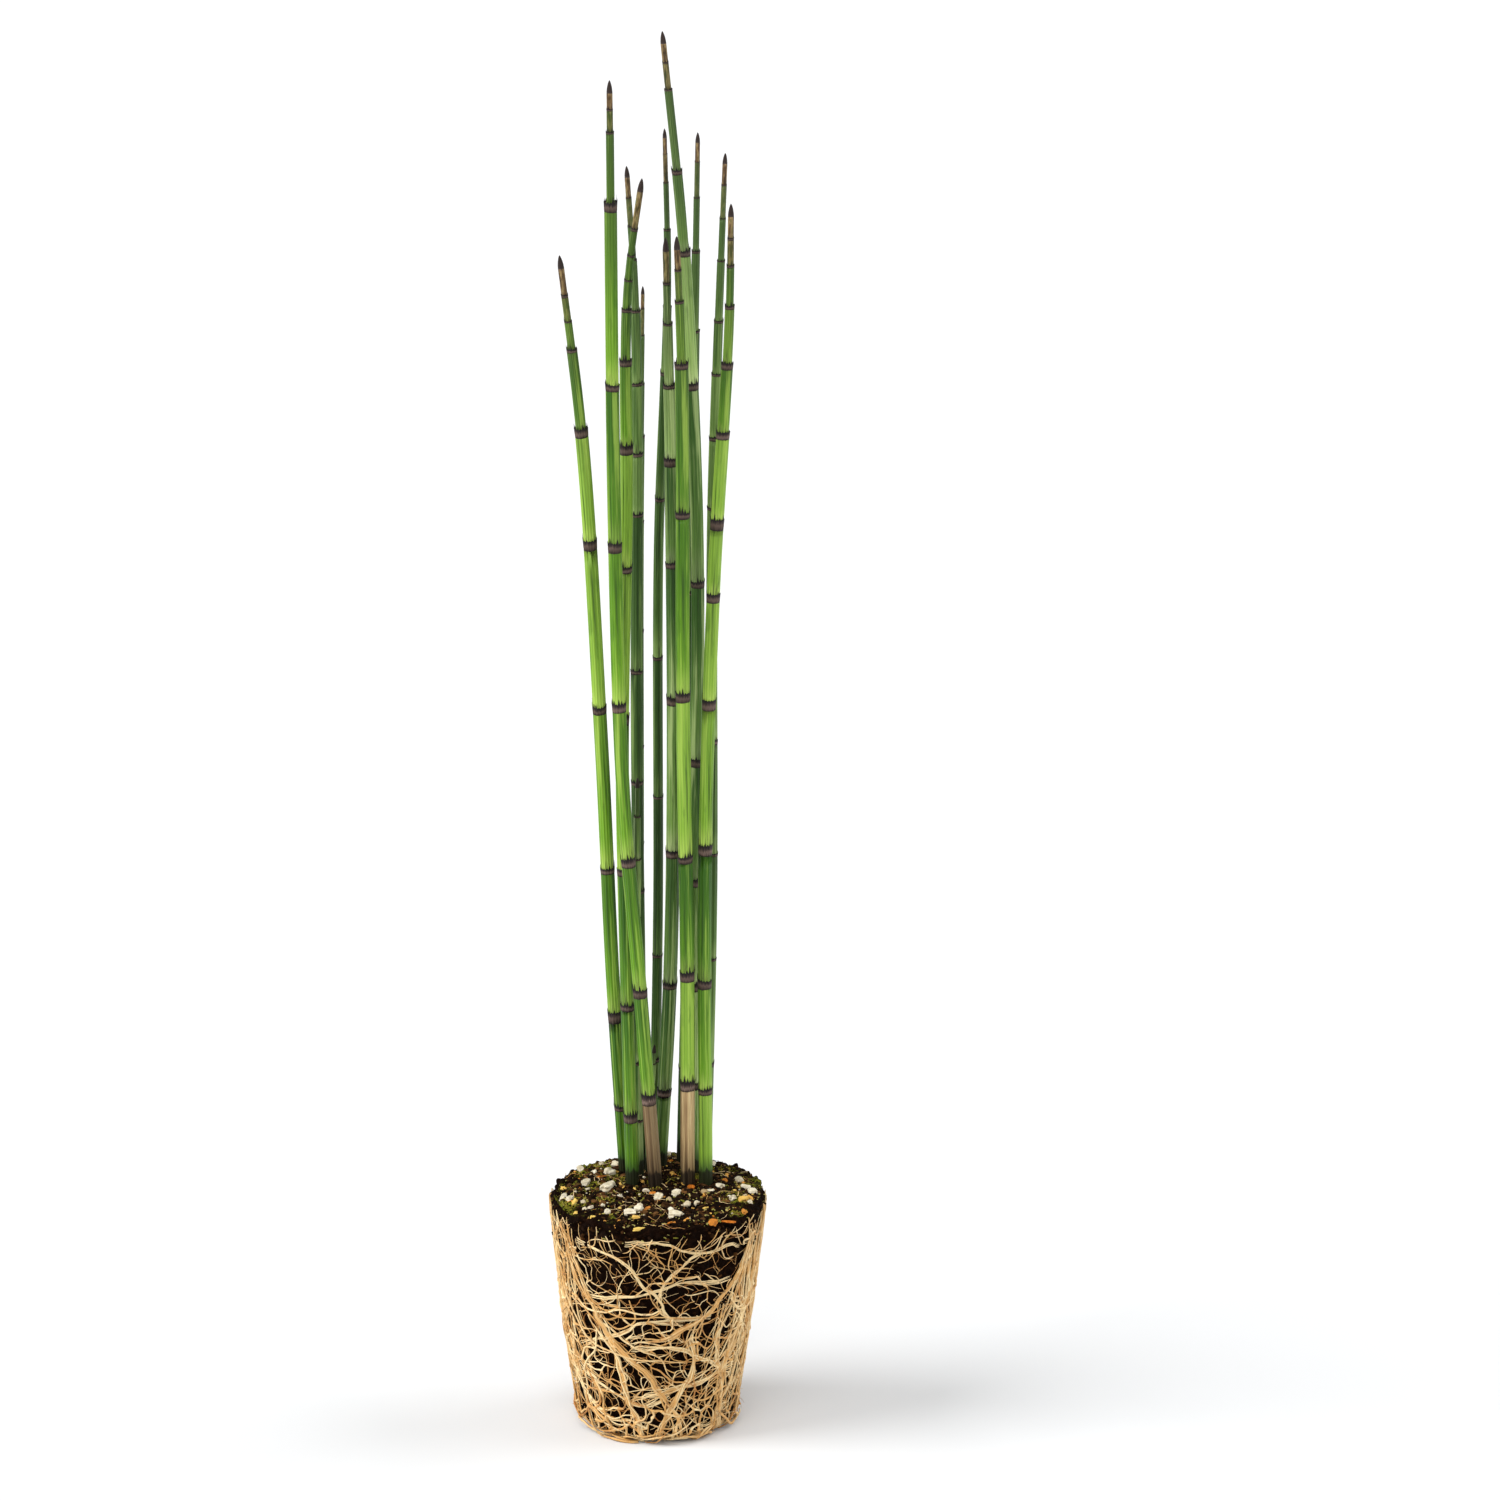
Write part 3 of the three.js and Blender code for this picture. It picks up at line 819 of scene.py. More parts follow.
@dataclass(frozen=True)
class RootFinish:
    """Roots from cream to orange by their tone, browned in patches, with fibres along them."""

    name: str = "roots"
    cream: str = "ebd09b"
    tan: str = "cf9e59"
    orange: str = "ad6f2b"
    brown: str = "5c2e0c"

    def material(self) -> Material:
        """Builds the finish.

        Returns:
            The material.
        """
        g = Coat(self.name)
        fibres = g.streaks(g.straightened(), 0.25, 7.0)
        uneven = g.times(g.minus(g.noise(g.place(), 130.0), 0.5), 1.1)
        tone = g.plus(g.mark("tone"), uneven)
        colour = g.mix(g.span(tone, 0.0, 0.55), self.cream, self.tan)
        colour = g.mix(g.span(tone, 0.5, 1.05), colour, self.orange)
        colour = g.mix(g.span(fibres, 0.5, 0.2, 0.0, 0.5), colour, self.brown)
        stain = g.span(g.noise(g.place(), 420.0, 4.0), 0.56, 0.7, 0.0, 0.55)
        roughness = g.span(fibres, 0.2, 0.8, 0.42, 0.68)
        return g.done(g.mix(stain, colour, self.brown), roughness, fibres, 0.00018)


@dataclass(frozen=True)
class FloorFinish:
    """The studio's pale floor, with a faint unevenness."""

    name: str = "studio floor"
    low: str = "dddedf"
    high: str = "dfe0e1"

    def material(self) -> Material:
        """Builds the finish.

        Returns:
            The material.
        """
        g = Coat(self.name)
        colour, share = g.clouds(0.6, 0.2, self.low, self.high)
        return g.done(colour, g.span(share, 0.0, 1.0, 0.75, 0.85), g.noise(g.place(), 60.0), 0.00002)


# ---------------- the root ball's shape


@dataclass(frozen=True)
class BallShape:
    """Shape of the root ball, which its mix, its litter and its roots share."""

    top: float = 112.0
    rim_radius: float = 48.2
    foot_radius: float = 34.8
    underside: float = 2.6
    edge_round: float = 5.0
    rim_drop: float = 2.5
    roughness: float = 1.1
    left_bulge: float = 2.4
    bulge_rise: float = 60.0
    bulge_fall: float = 16.0

    @property
    def rim(self) -> float:
        """Height of the crumbled rim."""
        return self.top - self.rim_drop

    @property
    def side_length(self) -> float:
        """Height of the side, from the rim down to the rounded lower edge."""
        return self.rim - self.underside - self.edge_round

    @property
    def under_start(self) -> float:
        """Distance down from the rim at which the foot's flat underside starts."""
        return self.side_length + 0.5 * math.pi * self.edge_round

    @property
    def mean_radius(self) -> float:
        """Radius halfway between the rim's and the foot's."""
        return 0.5 * (self.rim_radius + self.foot_radius)

    def radius(self, z: Array) -> Array:
        """Radius of the bare mix at a height: a straight taper, as the pot was."""
        share = (z - self.underside - self.edge_round) / self.side_length
        return self.foot_radius + (self.rim_radius - self.foot_radius) * share

    def bulge(self, angle: Array, down: Array) -> Array:
        """How far the side stands out at the left, below the rim and down to the foot.

        Args:
            angle: radians from +X.
            down: millimetres down from the rim.

        Returns:
            Millimetres off the straight taper.
        """
        sideways = np.maximum(0, -np.cos(angle)) ** 1.5
        grown = 0.35 + 0.65 * smoothstep(down, 0, self.bulge_rise)
        kept = grown * (1 - smoothstep(down, self.under_start, self.under_start + self.bulge_fall))
        return self.left_bulge * sideways * kept

    def lumps(self, x: Array, y: Array) -> Array:
        """Lumps of the surface from -1 to 1: a few crossed waves that never repeat within it."""
        first = np.sin(0.31 * x + 1.3 * np.sin(0.11 * y + 0.4)) * np.cos(0.27 * y + 0.7)
        return 0.5 * first + 0.5 * np.sin(0.53 * x - 0.41 * y + 2.1) * np.cos(0.37 * x + 0.61 * y)

    def surface(self, x: Array, y: Array) -> Array:
        """Height of the soil's surface: a flat crown that falls to the rim, with lumps."""
        worn = self.rim_drop * (np.hypot(x, y) / self.rim_radius) ** 3
        return self.top - worn + self.roughness * self.lumps(x, y)

    def skin_frame(self, angle: Array, down: Array) -> Pair:
        """Points and outward directions on the side, round the lower edge and under the foot.

        Args:
            angle: radians from +X.
            down: millimetres down the side from the rim, and on towards the middle of the foot.

        Returns:
            The points on the bare mix, and the directions in which roots stand off it.
        """
        lean = np.clip((down - self.side_length) / self.edge_round, 0, math.pi / 2)
        side = np.minimum(down, self.side_length)
        under = np.maximum(down - self.under_start, 0)
        r = self.radius(self.rim - side) - self.edge_round * (1 - np.cos(lean)) - under
        r = r + self.bulge(angle, down)
        z = self.rim - side - self.edge_round * np.sin(lean)
        point = stacked(r * np.cos(angle), r * np.sin(angle), z)
        return point, stacked(np.cos(lean) * np.cos(angle), np.cos(lean) * np.sin(angle), -np.sin(lean))

    def points(self, angle: Array, down: Array) -> Array:
        """The points alone of a place on the skin."""
        return self.skin_frame(angle, down)[0]


BALL = BallShape()


# ---------------- stems


def filled(**values: Array) -> dict[str, Array]:
    """Named values of rings, each filled out to the shape they have together."""
    return dict(zip(values, np.broadcast_arrays(*values.values())))


@dataclass(frozen=True)
class SheathShape:
    """Rings of a sheath, from its foot to inside its teeth.

    Each ring is (rise, width, step, ridges, reach): its place above the joint and its radius, both
    against the radius of the stem below; how far up the sheath it is, from 0 to 1; how much of the
    stem's ridges shows; and how much of the teeth's height it takes part in.
    """

    rings: Rows = (
        (-1.12, 1.000, 0.00, 1.0, 0.0),
        (-1.05, 0.975, 0.05, 0.6, 0.0),
        (-0.96, 1.010, 0.12, 0.6, 0.0),
        (-0.66, 1.030, 0.30, 0.6, 0.0),
        (-0.32, 1.045, 0.48, 0.6, 0.0),
        (0.02, 1.065, 0.62, 0.5, 0.0),
        (0.05, 1.075, 0.78, 0.3, 0.45),
        (0.05, 1.060, 1.00, 0.2, 1.0),
        (0.02, 1.030, 1.00, 0.2, 1.0),
        (0.00, 1.020, 0.80, 0.2, 0.2),
    )
    tooth: Span = (0.14, 1.15)
    height_spread: Span = (0.68, 1.45)
    tilt: float = 0.05


@dataclass
class Stem:
    """One stem: straight ridged internodes, each rising out of the toothed sheath below it.

    Its path is (x, y, height above the soil) from the ground to the tip, and its joints are
    distances along that path. Its shades run from 0, light, to 1, dark, for each internode; they
    are partly the internode's own colour and partly painted shade of the clump.
    """

    name: str
    green: Green
    radius: float
    path: Rows
    joints: tuple[float, ...]
    shades: tuple[float, ...] = ()
    foot_tone: float = 0.5
    dead_foot: bool = False
    ridges: int = 14
    teeth: int = 16
    sides: int = 64
    foot_depth: float = 26.0
    ridge_depth: float = 0.036
    lobe_depth: float = 0.08
    lobe_turn: Span = (0.0, 6.28)
    internode_rings: int = 8
    cone_rings: int = 9
    cone_length: float = 4.2
    short_internode: float = 30.0
    ripeness: float = 0.9
    sheath: SheathShape = SheathShape()

    @cached_property
    def axis(self) -> SmoothPath:
        """The line through the middle of the stem, from the soil to the tip."""
        return SmoothPath(np.array(self.path) + [0.0, 0.0, BALL.top])

    @cached_property
    def random(self) -> Draws:
        """The stem's own seeded draws."""
        return np.random.default_rng([ord(letter) for letter in self.name])

    def radius_at(self, distance: Array) -> Array:
        """Radius of the stem: a slight taper, then thinner with each internode of the last third."""
        share = np.clip(distance / self.axis.length, 0, 1)
        return self.radius * (1 - 0.1 * share) * (1 - 0.58 * smoothstep(share, 0.68, 1.03))

    def _joint_rows(self) -> dict[str, Array]:
        """Rings of every sheath and of the internode above it, one row of values a ring.

        Returns:
            Arrays of (joints, rings) for each value that a ring has.
        """
        joints = np.array(self.joints)[:, None]
        upper = self.radius_at(joints)
        lower = np.vstack([[[self.radius]], upper[:-1]])
        rise, width, step, ridges, reach = np.array(self.sheath.rings).T[:, None, :]
        room = np.diff(np.append(joints[:, 0], self.axis.length))[:, None] / self.short_internode
        rise = rise * self.random.uniform(*self.sheath.height_spread, joints.shape) * np.clip(room, 0.4, 1)
        width = 1 + (width - 1) * np.clip(room, 0.5, 1)
        last = self.axis.length - self.cone_length * upper[-1]
        ends = np.vstack([joints[1:] - 1.5 * upper[:-1], last[None]])
        share = np.concatenate([[0.0, 0.012], np.linspace(0.03, 1, self.internode_rings)])
        starts = joints - 0.1 * lower
        along = starts + (ends - starts) * share
        wall = filled(
            distance=joints + rise * lower, radius=np.maximum(width * lower, upper * 1.01),
            step=step, ridges=ridges, reach=reach * lower, internode=1.0, rise=0.0,
        )
        rod = filled(
            distance=along, radius=upper,
            step=0.0, ridges=1.0, reach=0.0, internode=share, rise=along - joints,
        )
        return {name: np.hstack([wall[name], rod[name]]) for name in wall}

    def _rows(self) -> dict[str, Array]:
        """Rings of the whole stem, from its foot in the soil to the tip of its cone.

        Returns:
            Each value that a ring has, for every ring.
        """
        rows = self._joint_rows()
        joint = np.repeat(np.arange(len(self.joints))[:, None], rows["distance"].shape[1], axis=1)
        joint[:, :2] -= 1
        rows["joint"] = joint
        first = self.joints[0] - 1.6 * self.radius
        foot = np.concatenate([[-self.foot_depth], np.linspace(-2, first, self.internode_rings)])
        tip_radius = float(self.radius_at(np.array(self.joints[-1])))
        t = np.linspace(0, 1, self.cone_rings + 1)[:-1] ** 0.8
        low = filled(
            distance=foot, radius=self.radius,
            step=0.0, ridges=1.0, reach=0.0, internode=np.clip(foot / first, 0, 1), rise=FAR, joint=-1,
        )
        cone = filled(
            distance=self.axis.length - self.cone_length * tip_radius * (1 - t),
            radius=tip_radius * (1 - t**1.7) ** 0.72,
            step=0.0, ridges=1 - t, reach=0.0, internode=1.0, rise=FAR, joint=len(self.joints) - 1,
        )
        return {name: np.concatenate([low[name], rows[name].ravel(), cone[name]]) for name in rows}

    def skin(self) -> Skin:
        """The stem's surface.

        A point stands off the axis by the ring's radius, less a groove between two ridges, less a
        few broad lobes. At a sheath's edge it also rises with the height of its tooth. The rings'
        two axes are +X and +Y leant over with the axis' direction (a, b, c).

        Returns:
            The surface with its marks.
        """
        rows = self._rows()
        radius = rows["radius"][:, None]
        angle = circle(self.sides)
        cos, sin = np.cos(angle), np.sin(angle)
        joint = rows["joint"].astype(int)
        ridge = 0.5 + 0.5 * np.cos(self.ridges * angle)
        lobes = np.cos(5 * angle + self.random.uniform(*self.lobe_turn))
        lobes = lobes * np.cos(2 * angle + self.random.uniform(*self.lobe_turn))
        relief = -self.ridge_depth * (1 - ridge)[None, :] * rows["ridges"][:, None]
        reach = radius * (1 + relief - self.lobe_depth * (1 + lobes[None, :]) * 0.5)
        rise = rows["reach"][:, None] * self._teeth(angle)[joint]
        skew = self.random.normal(0, self.sheath.tilt, (len(self.joints) + 1, 2))
        tilted = skew[joint, 0, None] * cos + skew[joint, 1, None] * sin
        rise = rise + np.where(rows["step"] > 0, 1.0, 0.0)[:, None] * tilted * radius
        tangent = self.axis.tangent(rows["distance"])
        a, b, c = tangent.T
        x_axis = stacked(1 - a * a / (1 + c), -a * b / (1 + c), -a)
        y_axis = stacked(-a * b / (1 + c), 1 - b * b / (1 + c), -b)
        centre = self.axis.at(rows["distance"])
        ring = centre[:, None] + (reach * cos)[..., None] * x_axis[:, None]
        ring = ring + (reach * sin)[..., None] * y_axis[:, None] + rise[..., None] * tangent[:, None]
        poles = np.stack([centre[0], self.axis.at(np.array(self.axis.length))])
        return Skin(*closed_tubes(ring[None], poles[None]), self._marks(rows, angle, ridge))

    def _teeth(self, angle: Array) -> Array:
        """The toothed edge round each joint: thin spikes, most of them broken off short.

        Args:
            angle: radians round the stem.

        Returns:
            Heights as (joints, angles).
        """
        turn = angle / (2 * math.pi) * self.teeth + 0.5
        wave = np.abs(turn % 1.0 - 0.5) * 2
        low, high = self.sheath.tooth
        height = low + (high - low) * self.random.uniform(0, 1, (len(self.joints) + 1, self.teeth)) ** 2.6
        return height[:, np.floor(turn).astype(int) % self.teeth] * (1 - wave) ** 1.4

    def _marks(self, rows: dict[str, Array], angle: Array, ridge: Array) -> dict[str, Array]:
        """Marks that tell the finish where on the stem a point lies.

        Args:
            rows: the rings' values.
            angle: radians round a ring.
            ridge: height of the ridges at those angles, from 0 to 1.

        Returns:
            Values for every point, by the marks' names.
        """
        count = len(self.joints)
        joint = rows["joint"].astype(int)
        share = np.append(np.array(self.joints) / self.axis.length, 0.0)
        left = self.axis.length * (1 - share) * self.random.uniform(0.75, 1.3, count + 1)
        age = np.clip(self.random.uniform(-0.3, 0.9, count + 1) + share, 0, 1)
        # The tone is partly the internode's own colour and partly painted shade of the clump.
        tone = np.append(self.shades or self.random.uniform(0, 1, count), self.foot_tone)
        rings = {
            "sheath": rows["step"],
            "internode": rows["internode"],
            "rise": rows["rise"],
            "share": np.clip(rows["distance"] / self.axis.length, 0, 1),
            "ripe": (self.ripeness * smoothstep(-left, -40, -12))[joint],
            "age": age[joint],
            "tone": tone[joint],
            "dead": np.where((joint == -1) & self.dead_foot, 1.0, 0.0),
            "cone": np.where(np.arange(len(joint)) >= len(joint) - self.cone_rings, 1.0, 0.0),
        }
        marks = {name: each_vertex(values[None, :], self.sides) for name, values in rings.items()}
        marks["ridge"] = np.append(np.tile(ridge, len(joint)), [0.5, 0.5])
        around = self.radius * np.tile(stacked(np.cos(angle), np.sin(angle)), (len(joint), 1))
        body = np.hstack([around, np.repeat(rows["distance"], self.sides)[:, None]])
        marks["strand"] = np.vstack([body, [[0, 0, rows["distance"][0]], [0, 0, self.axis.length]]])
        return marks

    def build(self) -> None:
        """Makes the stem and dresses it."""
        piece = self.skin().make(f"{self.name}_ribbed")
        finished(piece, stem_material(self.green), Slot.STEMS, self.name)


@lru_cache(None)
def stem_material(green: Green) -> Material:
    """The finish of stems of one green, made once."""
    return green.value.material()


LOW_SHEATH = SheathShape(tooth=(0.1, 0.7), height_spread=(0.36, 0.72))
MIDDLE_SHEATH = SheathShape(tooth=(0.1, 1.0), height_spread=(0.5, 1.1))
THIN = {"ridges": 12, "teeth": 12, "sides": 48, "sheath": LOW_SHEATH}
SHOOT = {"ridges": 9, "teeth": 9, "sides": 36, "ripeness": 0.0, "sheath": LOW_SHEATH}

STEMS = (
    Stem(
        "stem_left_bowed", Green.LIGHT, 3.2,
        ((-12, 4, 0), (-14, 5, 95), (-15.5, 7, 200), (-13, 9, 320), (-12, 9, 415), (-5.5, 9, 465)),
        (34, 86, 150, 222, 290, 345, 384, 407, 420, 431, 443),
        (0.7, 0.85, 0.3, 0, 0.1, 0.45, 0.75, 0.7, 0.5, 0.9, 0.7),
    ),
    Stem(
        "stem_left_leaning", Green.LIGHT, 3.3,
        ((-15.5, 21, 0), (-20.5, 15, 90), (-25, 8, 210), (-32, -4, 350), (-41, -12, 436)),
        (33, 79, 149, 227, 306, 358, 395, 408, 420),
        (1, 0.5, 0.24, 0.08, 0, 1, 0, 0.4, 1),
    ),
    Stem(
        "stem_left_front", Green.LIGHT, 3.3,
        ((-1.5, 2, 0), (-8, -2, 95), (-15, -5, 190), (-18, -7, 310), (-19, -8, 512)),
        (45, 96, 159, 232, 306, 378, 459, 490, 500),
        (0.62, 0.5, 0.45, 0.35, 0.85, 0.32, 0.87, 1, 1),
        foot_tone=0.85, dead_foot=True,
    ),
    Stem(
        "stem_middle_back", Green.MIDDLE, 3.35,
        ((0, 26, 0), (5, 23, 90), (7, 20, 190), (6.5, 15, 330), (4.5, 12, 438)),
        (38, 90, 154, 227, 290, 338, 372, 400, 418),
        (1, 0.75, 0.4, 1, 0.85, 0, 0.1, 0.8, 0.3),
        sheath=MIDDLE_SHEATH,
    ),
    Stem(
        "stem_middle_front", Green.LIGHT, 3.4,
        ((13, 4.5, 0), (13, 2, 105), (11.5, -1, 235), (11.5, -4, 380), (9.5, -6, 443)),
        (50, 103, 158, 235, 318, 386, 414, 428),
        (0, 0.75, 0, 0.5, 0.95, 0.25, 0.3, 0.3),
        foot_tone=0.05, dead_foot=True,
    ),
    Stem(
        "stem_right_front", Green.LIGHT, 3.25,
        ((21, 4.5, 0), (21, 4.5, 150), (25, 4, 280), (32, 4, 400), (33, 4, 455)),
        (46, 98, 162, 230, 279, 313, 353, 384, 410, 428, 440),
        (0.4, 0.9, 0.14, 0, 0, 0, 0.65, 0, 1, 0.6, 0.5),
        foot_tone=0,
    ),
    Stem(
        "stem_tallest", Green.MIDDLE, 3.2,
        ((15, 18, 0), (16.5, 16, 150), (18, 13, 300), (12.5, 10, 433), (3.5, 8, 530)),
        (44, 92, 142, 199, 282, 373, 433, 469, 505, 517),
        (0, 0.4, 1, 1, 1, 0.15, 0.75, 0.9, 1, 1),
        sheath=MIDDLE_SHEATH,
    ),
    Stem(
        "stem_back_left", Green.DARK, 2.9,
        ((-8, 30, 0), (-9.5, 29, 200), (-9, 26, 400), (-12.5, 24, 467)),
        (42, 86, 132, 184, 236, 309, 337, 369, 402, 425, 440, 453),
        (0.3, 0.55, 1, 1, 0.85, 0, 0.25, 0.35, 0, 0.56, 0.6, 0.8),
        **THIN,
    ),
    Stem(
        "stem_back_middle", Green.DARK, 2.4,
        ((-3, 38, 0), (-0.5, 38, 120), (0.5, 36, 290), (5, 33, 410), (4, 31, 482)),
        (48, 98, 174, 240, 314, 372, 402, 437, 458, 471),
        (0.73, 1, 0.9, 0.35, 0.84, 0.2, 0.33, 0.4, 0.4, 0.5),
        **THIN,
    ),
    Stem(
        "stem_back_right", Green.DARK, 2.6,
        ((10, 35, 0), (13, 35, 130), (15, 32, 290), (18.5, 28, 481)),
        (45, 92, 144, 205, 272, 338, 392, 428, 452, 468),
        **THIN,
    ),
    Stem(
        "stem_right_back", Green.DARK, 2.7,
        ((21, 21, 0), (24, 23, 130), (24.5, 24, 300), (26.5, 24, 370), (30.5, 23, 473)),
        (52, 102, 152, 205, 262, 313, 345, 374, 398, 425, 444, 459),
        (0.2, 0.4, 0.24, 0, 0, 0.1, 0.04, 0.4, 0.2, 0.5, 0.5, 0.6),
        **THIN,
    ),
    Stem(
        "stem_back_short", Green.DARK, 2.1,
        ((-12, 38, 0), (-9, 42, 120), (-8, 44, 290), (-6, 45, 408)),
        (38, 76, 113, 150, 196, 250, 301, 340, 364, 386, 398),
        **THIN,
    ),
    Stem(
        "young_shoot_tall", Green.MIDDLE, 2.1,
        ((-9, 14.5, 0), (-10, 15, 80), (-9, 15, 190)),
        (27, 55, 88, 124, 152, 172),
        **SHOOT,
    ),
    Stem(
        "young_shoot_low", Green.MIDDLE, 1.5,
        ((-5.5, 19.5, 0), (-3.8, 18.8, 31), (-2, 18, 62)),
        (14, 29, 43, 53),
        **SHOOT,
    ),
)


# ---------------- potting mix


@dataclass
class PottingMix:
    """The root ball's mix: a crumbly tapered body, standing on pads that set in the drain holes.

    Moss patches are (x, y, radius).
    """

    around: int = 330
    top_rings: int = 62
    rim_rings: int = 7
    side_rings: int = 120
    edge_rings: int = 10
    under_rings: int = 22
    shoulder: float = 46.0
    shoulder_drop: float = 3.6
    pad_radius: float = 4.5
    pad_edge: float = 0.7
    pad_ring: float = 19.5
    pads: int = 6
    moss_patches: Rows = (
        (-36, -14, 10), (-28, -2, 8), (-42, -20, 6), (-20, -36, 5), (-33, 18, 6), (-44, 5, 6), (34, -16, 8),
        (38, -26, 6), (41, 6, 6), (-14, 30, 10), (30, 22, 9), (12, 41, 8), (-30, 30, 8),
    )

    def moss(self, x: Array, y: Array) -> Array:
        """Where moss grows: patches whose edges are eaten away by noise, and some strewn about.

        Args:
            x: places to the right.
            y: places to the back.

        Returns:
            Share of moss from 0 to 1 at each.
        """
        place = stacked(x, y, 0.0)
        eaten = 4.5 * fractal_noise(place, 7.0, 3, 31)
        reach = [size - np.hypot(x - px, y - py) for px, py, size in self.moss_patches]
        cover = smoothstep(np.maximum.reduce(reach) + eaten, 0, 4)
        scattered = 0.7 * smoothstep(fractal_noise(place, 8.0, 3, 55), 0.3, 0.8)
        return np.maximum(cover, scattered)

    def _profile(self) -> Pair:
        """Half the outline: from the middle of the surface over the rim, down and under.

        Returns:
            Radius and height of each ring.
        """
        r_top = self.shoulder * np.linspace(0.012, 1, self.top_rings) ** 0.85
        z_top = BALL.top - BALL.rim_drop * (r_top / BALL.rim_radius) ** 3
        low = z_top[-1] - self.shoulder_drop
        turn = np.linspace(0, math.pi / 2, self.rim_rings + 1)[1:]
        r_rim = self.shoulder + (BALL.radius(low) - self.shoulder) * np.sin(turn)
        z_rim = low + self.shoulder_drop * np.cos(turn)
        z_side = np.linspace(low, BALL.underside + BALL.edge_round, self.side_rings + 1)[1:]
        bend = np.linspace(0, math.pi / 2, self.edge_rings + 1)[1:]
        r_edge = BALL.foot_radius - BALL.edge_round * (1 - np.cos(bend))
        z_edge = BALL.underside + BALL.edge_round * (1 - np.sin(bend))
        r_under = (BALL.foot_radius - BALL.edge_round) * np.linspace(1, 0.02, self.under_rings + 1)[1:]
        r = np.concatenate([r_top, r_rim, BALL.radius(z_side), r_edge, r_under])
        z = np.concatenate([z_top, z_rim, z_side, z_edge, np.full(self.under_rings, BALL.underside)])
        return r, z

    def skin(self) -> Skin:
        """The mix's surface.

        The profile is turned round the axis and each point moves along its normal by noise: broad
        hollows, crumbs (the noise's absolute value, which makes pits between them) and fine grit.

        Returns:
            The surface, with its moss as a mark.
        """
        r, z = self._profile()
        normal = unit(stacked(-np.gradient(z), np.gradient(r)))
        angle = -circle(self.around)
        cos, sin = np.cos(angle), np.sin(angle)
        flat = z < BALL.underside + 0.1
        run = BALL.rim - z + np.where(flat, BALL.foot_radius - BALL.edge_round - r, 0.0)
        run = run + 0.57 * BALL.edge_round * flat
        reach = r[:, None] + BALL.bulge(angle[None, :], run[:, None])
        ring = stacked(reach * cos, reach * sin, z[:, None])
        outward = stacked(normal[:, :1] * cos, normal[:, :1] * sin, normal[:, 1:])
        broad = fractal_noise(ring, 9.0, 2, 3)
        crumbs = np.abs(fractal_noise(ring, 2.9, 2, 17))
        grit = fractal_noise(ring, 1.3, 1, 41)
        lumps = np.abs(fractal_noise(ring, 7.0, 2, 77)) - 0.35
        side = smoothstep(-np.abs(normal[:, 1]), -0.8, -0.3)[:, None]
        shoulder = (smoothstep(z, 66, 98) * smoothstep(-z, -BALL.top, -BALL.top + 5))[:, None]
        push = 0.7 * broad + 1.5 * (crumbs - 0.4) + 0.3 * grit - 0.8 * side + 2.6 * shoulder * lumps
        under = (z < BALL.underside + BALL.edge_round)[:, None]
        points = ring + np.where(under, 0.35 * push, push)[..., None] * outward
        surface = (np.arange(len(r)) < self.top_rings + 2)[:, None]
        x, y, height = points[..., 0], points[..., 1], points[..., 2]
        height += np.where(surface, BALL.roughness * BALL.lumps(x, y), 0.0)
        height -= np.where(under, self._pads(x, y) * height, 0.0)
        moss = np.where(surface, self.moss(x, y), 0.0)
        poles = np.array([[0, 0, BALL.surface(0.0, 0.0)], [0, 0, 0.0]])
        return Skin(*closed_tubes(points[None], poles[None]), {"moss": np.append(moss.ravel(), [0, 0])})

    def _pads(self, x: Array, y: Array) -> Array:
        """Where the underside comes down to the ground, in each drain hole's pad.

        Args:
            x: places to the right.
            y: places to the back.

        Returns:
            Share of the way down at each.
        """
        turn = 2 * math.pi * (np.arange(self.pads) + 0.5) / self.pads
        centres = np.vstack([[0, 0], self.pad_ring * stacked(np.cos(turn), np.sin(turn))])
        away = np.minimum.reduce([np.hypot(x - cx, y - cy) for cx, cy in centres])
        return smoothstep(-away, -self.pad_radius - self.pad_edge, -self.pad_radius + self.pad_edge)

    def build(self) -> None:
        """Makes the mix and dresses it."""
        finished(self.skin().make("soil_ball"), MixFinish().material(), Slot.MIX, "soil")


# ---------------- litter


class Lump(Enum):
    """Shapes of the small bits: how finely they are faceted, and how rough they are."""

    CRUMB = (0, 0.35)
    CHIP = (0, 0.25)
    GRAIN = (1, 0.42)
    LARGE_GRAIN = (2, 0.5)


def icosphere(splits: int) -> Pair:
    """A ball of triangles: an icosahedron, each face split in four as often as asked.

    Args:
        splits: how often the faces are split.

    Returns:
        Points at distance one from the middle, and triangles.
    """
    golden = (1 + 5**0.5) / 2
    longest_edge = 1.2
    ring = np.array([[0, s, t * golden] for s in (-1, 1) for t in (-1, 1)])
    points = unit(np.vstack([np.roll(ring, shift, axis=1) for shift in range(3)]))
    near = np.linalg.norm(points[:, None] - points[None], axis=-1) < longest_edge
    threes = combinations(range(12), 3)
    faces = np.array([three for three in threes if all(near[pair] for pair in combinations(three, 2))])
    for _ in range(splits):
        corners = points[faces]
        middles = unit(corners + np.roll(corners, -1, axis=1)).reshape(-1, 3)
        merged, index = np.unique(np.round(np.vstack([points, middles]), 6), axis=0, return_inverse=True)
        index = index.ravel()
        a, b, c = index[: len(points)][faces].T
        ab, bc, ca = index[len(points) :].reshape(-1, 3).T
        faces = np.concatenate([stacked(*t) for t in ((a, ab, ca), (b, bc, ab), (c, ca, bc), (ab, bc, ca))])
        points = unit(merged)
    first, second, third = points[faces].transpose(1, 0, 2)
    facing = np.einsum("ij,ij->i", np.cross(second - first, third - first), first)
    faces[facing < 0] = faces[facing < 0][:, ::-1]
    return points, faces


